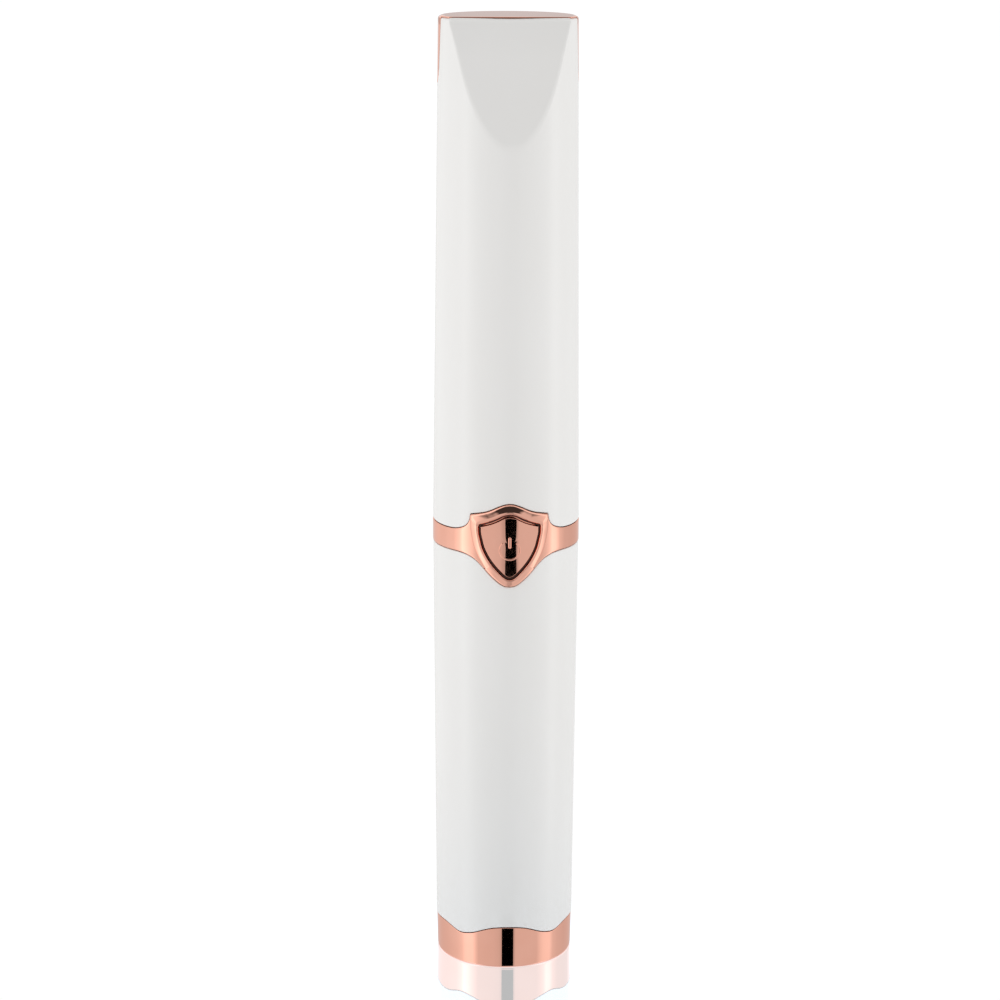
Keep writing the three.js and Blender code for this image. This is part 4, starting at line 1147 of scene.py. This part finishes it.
# Distances of the cards' rows, and below elevations of the room's, in pairs where the brightness jumps.
CARD_ROWS = [0, 10, 17.9, 18.1, 50, 90, 150, 199.8, 200.2, 260, 319.8, 320.2, 1000, 2900]
CARD_GAP = 0.05  # between the cards and the foot, and between the cards and the floor
STRIP = (-4.85, 5.15)  # a black strip among them, narrower further away
STRIP_FAR = -3.5
STRIP_REACH = (18, 200, 320)  # on the floor it lies up to the first of these, and between the other two
STRIP_RISE = (17, 28)  # elevations between which it goes on in the room
ROOM_ROWS = [-1, 7.9, 8.1, 13, 16.9, 17.1, 22, 27.9, 28.1, 31, 40, 56, 64, 69, 70, 80, 89.5]
DARK_FRONT = (28, 31, 56, 64)  # elevations between which the room in front is dark
DARK_WIDE = (24, 32)  # and the angles on the pen where that starts to fade, and ends
DARK_LEVEL = 0.05
CEILING = (70, 0.86)  # from this elevation the room has this brightness
REAR_WALL = (70, 60, 0.97)  # from this angle on the pen, and up to this elevation, it has this one
HORIZON = (8, 0.64)  # and there, up to this elevation, it has this one


def card_level(angle, share):
    """Brightness, for a share from 0 near the foot to 1 further away."""
    angles, *columns = np.transpose(CARD_LEVELS)
    near, far = (np.interp(angle, angles, column) for column in columns)
    return near + (far - near) * share


def shown_by_vertex(name, points, faces, levels):
    """A mesh that only reflections show, bright by vertex and clear from behind."""
    made, tree = bare(name)
    made.cycles.emission_sampling = "NONE"
    level = node(tree, "VertexColor", layer_name="level").outputs["Color"]
    front = node(tree, "Emission", {"Color": level}).outputs[0]
    back = node(tree, "BsdfTransparent").outputs[0]
    behind = node(tree, "NewGeometry").outputs["Backfacing"]
    mix = node(tree, "MixShader", {0: behind, 1: front, 2: back}).outputs[0]
    node(tree, "OutputMaterial", {"Surface": mix})
    shown = stage_mesh(name, points.reshape(-1, 3), faces, made, camera=False, **LIGHTS_NOTHING)
    colour = shown.data.color_attributes.new("level", "FLOAT_COLOR", "POINT")
    flat = np.repeat(levels.reshape(-1, 1), 3, axis=1)
    colour.data.foreach_set("color", np.concatenate([flat, np.ones((len(flat), 1))], axis=1).ravel())
    return shown


def card_angles():
    """Angles on the pen, close together where the brightness changes."""
    edges = np.array([*(row[0] for row in CARD_LEVELS), *STRIP, STRIP_FAR])
    edges = np.clip(edges[:, None] + (-0.08, 0, 0.08), -90, 90)
    return np.unique(np.concatenate([np.arange(-90, 91, 1.0), edges.ravel()]))


def mirrored_from(angle):
    """Azimuth, in radians, that the pen mirrors to the viewer at an angle on it."""
    return 2 * np.radians(angle) - VIEWER_AZIMUTH


def floor_cards():
    """Cards on the floor round the pen."""
    angle = card_angles()
    foot, away = np.radians(angle), mirrored_from(angle)
    reach = np.array(CARD_ROWS)[:, None]
    x = (R_FOOT + CARD_GAP) * np.sin(foot) + reach * np.sin(away)
    y = -(R_FOOT + CARD_GAP) * np.cos(foot) - reach * np.cos(away)
    levels = card_level(angle[None], np.interp(reach, CARD_FADE, [0, 1]))
    near_end, far_start, far_end = STRIP_REACH
    near = (reach < near_end) & (angle > STRIP[0]) & (angle < STRIP[1])
    far = (reach > far_start) & (reach < far_end) & (angle > STRIP_FAR) & (angle < STRIP[1])
    levels = np.where(near | far, 0, levels)
    points = np.stack([x, y, np.full_like(x, CARD_GAP)], axis=-1)
    card = shown_by_vertex("floor_cards", points, quads(*x.shape, False, False), levels)
    if card.data.polygons[0].normal.z < 0:
        card.data.flip_normals()


def room():
    """The room's walls and ceiling."""
    angle = card_angles()
    azimuth = mirrored_from(angle)
    elevation = np.array(ROOM_ROWS)[:, None]
    side = card_level(angle[None], np.ones_like(elevation))
    dark = np.interp(elevation, DARK_FRONT, [0, 1, 1, 0]) * np.interp(np.abs(angle), DARK_WIDE, [1, 0])
    levels = side + (DARK_LEVEL - side) * dark
    rising = (elevation > STRIP_RISE[0]) & (elevation < STRIP_RISE[1])
    strip = rising & (angle > STRIP[0]) & (angle < STRIP[1])
    rear = np.abs(angle) > REAR_WALL[0]
    levels = np.where(strip, 0, levels)
    levels = np.where(elevation >= CEILING[0], CEILING[1], levels)
    levels = np.where((elevation < REAR_WALL[1]) & rear, REAR_WALL[2], levels)
    levels = np.where((elevation < HORIZON[0]) & rear, HORIZON[1], levels)
    flat, up = np.cos(np.radians(elevation)), np.sin(np.radians(elevation))
    walls = [flat * np.sin(azimuth), -flat * np.cos(azimuth), up + 0 * azimuth]
    points = FLOOR_SPREAD * 0.97 * np.stack(walls, axis=-1)
    made = shown_by_vertex("room", points, quads(*levels.shape, False, False), levels)
    first = made.data.polygons[0]
    if first.normal.dot(first.center) > 0:
        made.data.flip_normals()


def softbox(name, azimuth, power):
    """An area light aimed at the middle of the pen."""
    light = bpy.data.lights.new(name, "AREA")
    light.shape = "RECTANGLE"
    light.size, light.size_y = (side * MM for side in SOFTBOX_SIZE)
    light.energy = power
    made = bpy.data.objects.new(name, light)
    scene.collection.objects.link(made)
    middle = Matrix.Translation((0, 0, SOFTBOX_AIM * MM))
    turn = Matrix.Rotation(azimuth, 4, "Z") @ Matrix.Rotation(math.pi / 2 - SOFTBOX_ELEVATION, 4, "X")
    made.matrix_world = middle @ turn @ Matrix.Translation((0, 0, SOFTBOX_AWAY * MM))
    made.visible_glossy = False


def camera():
    """The photograph's viewpoint."""
    lens = bpy.data.cameras.new("camera")
    lens.lens = CAMERA_LENS
    lens.sensor_width = 36
    lens.clip_start, lens.clip_end = 0.01, 20
    made = bpy.data.objects.new("camera", lens)
    scene.collection.objects.link(made)
    turn = Matrix.Rotation(CAMERA_TURN, 4, "Z") @ Matrix.Rotation(math.pi / 2 - CAMERA_TILT, 4, "X")
    place = Matrix.Translation([v * MM for v in CAMERA_PLACE])
    made.matrix_world = place @ turn @ Matrix.Rotation(CAMERA_ROLL, 4, "Z")
    scene.camera = made


world()
floor()
backdrop()
floor_cards()
room()
softbox("softbox_left", -SOFTBOX_AZIMUTH, 1.65)
softbox("softbox_right", SOFTBOX_AZIMUTH, 1.56)
camera()
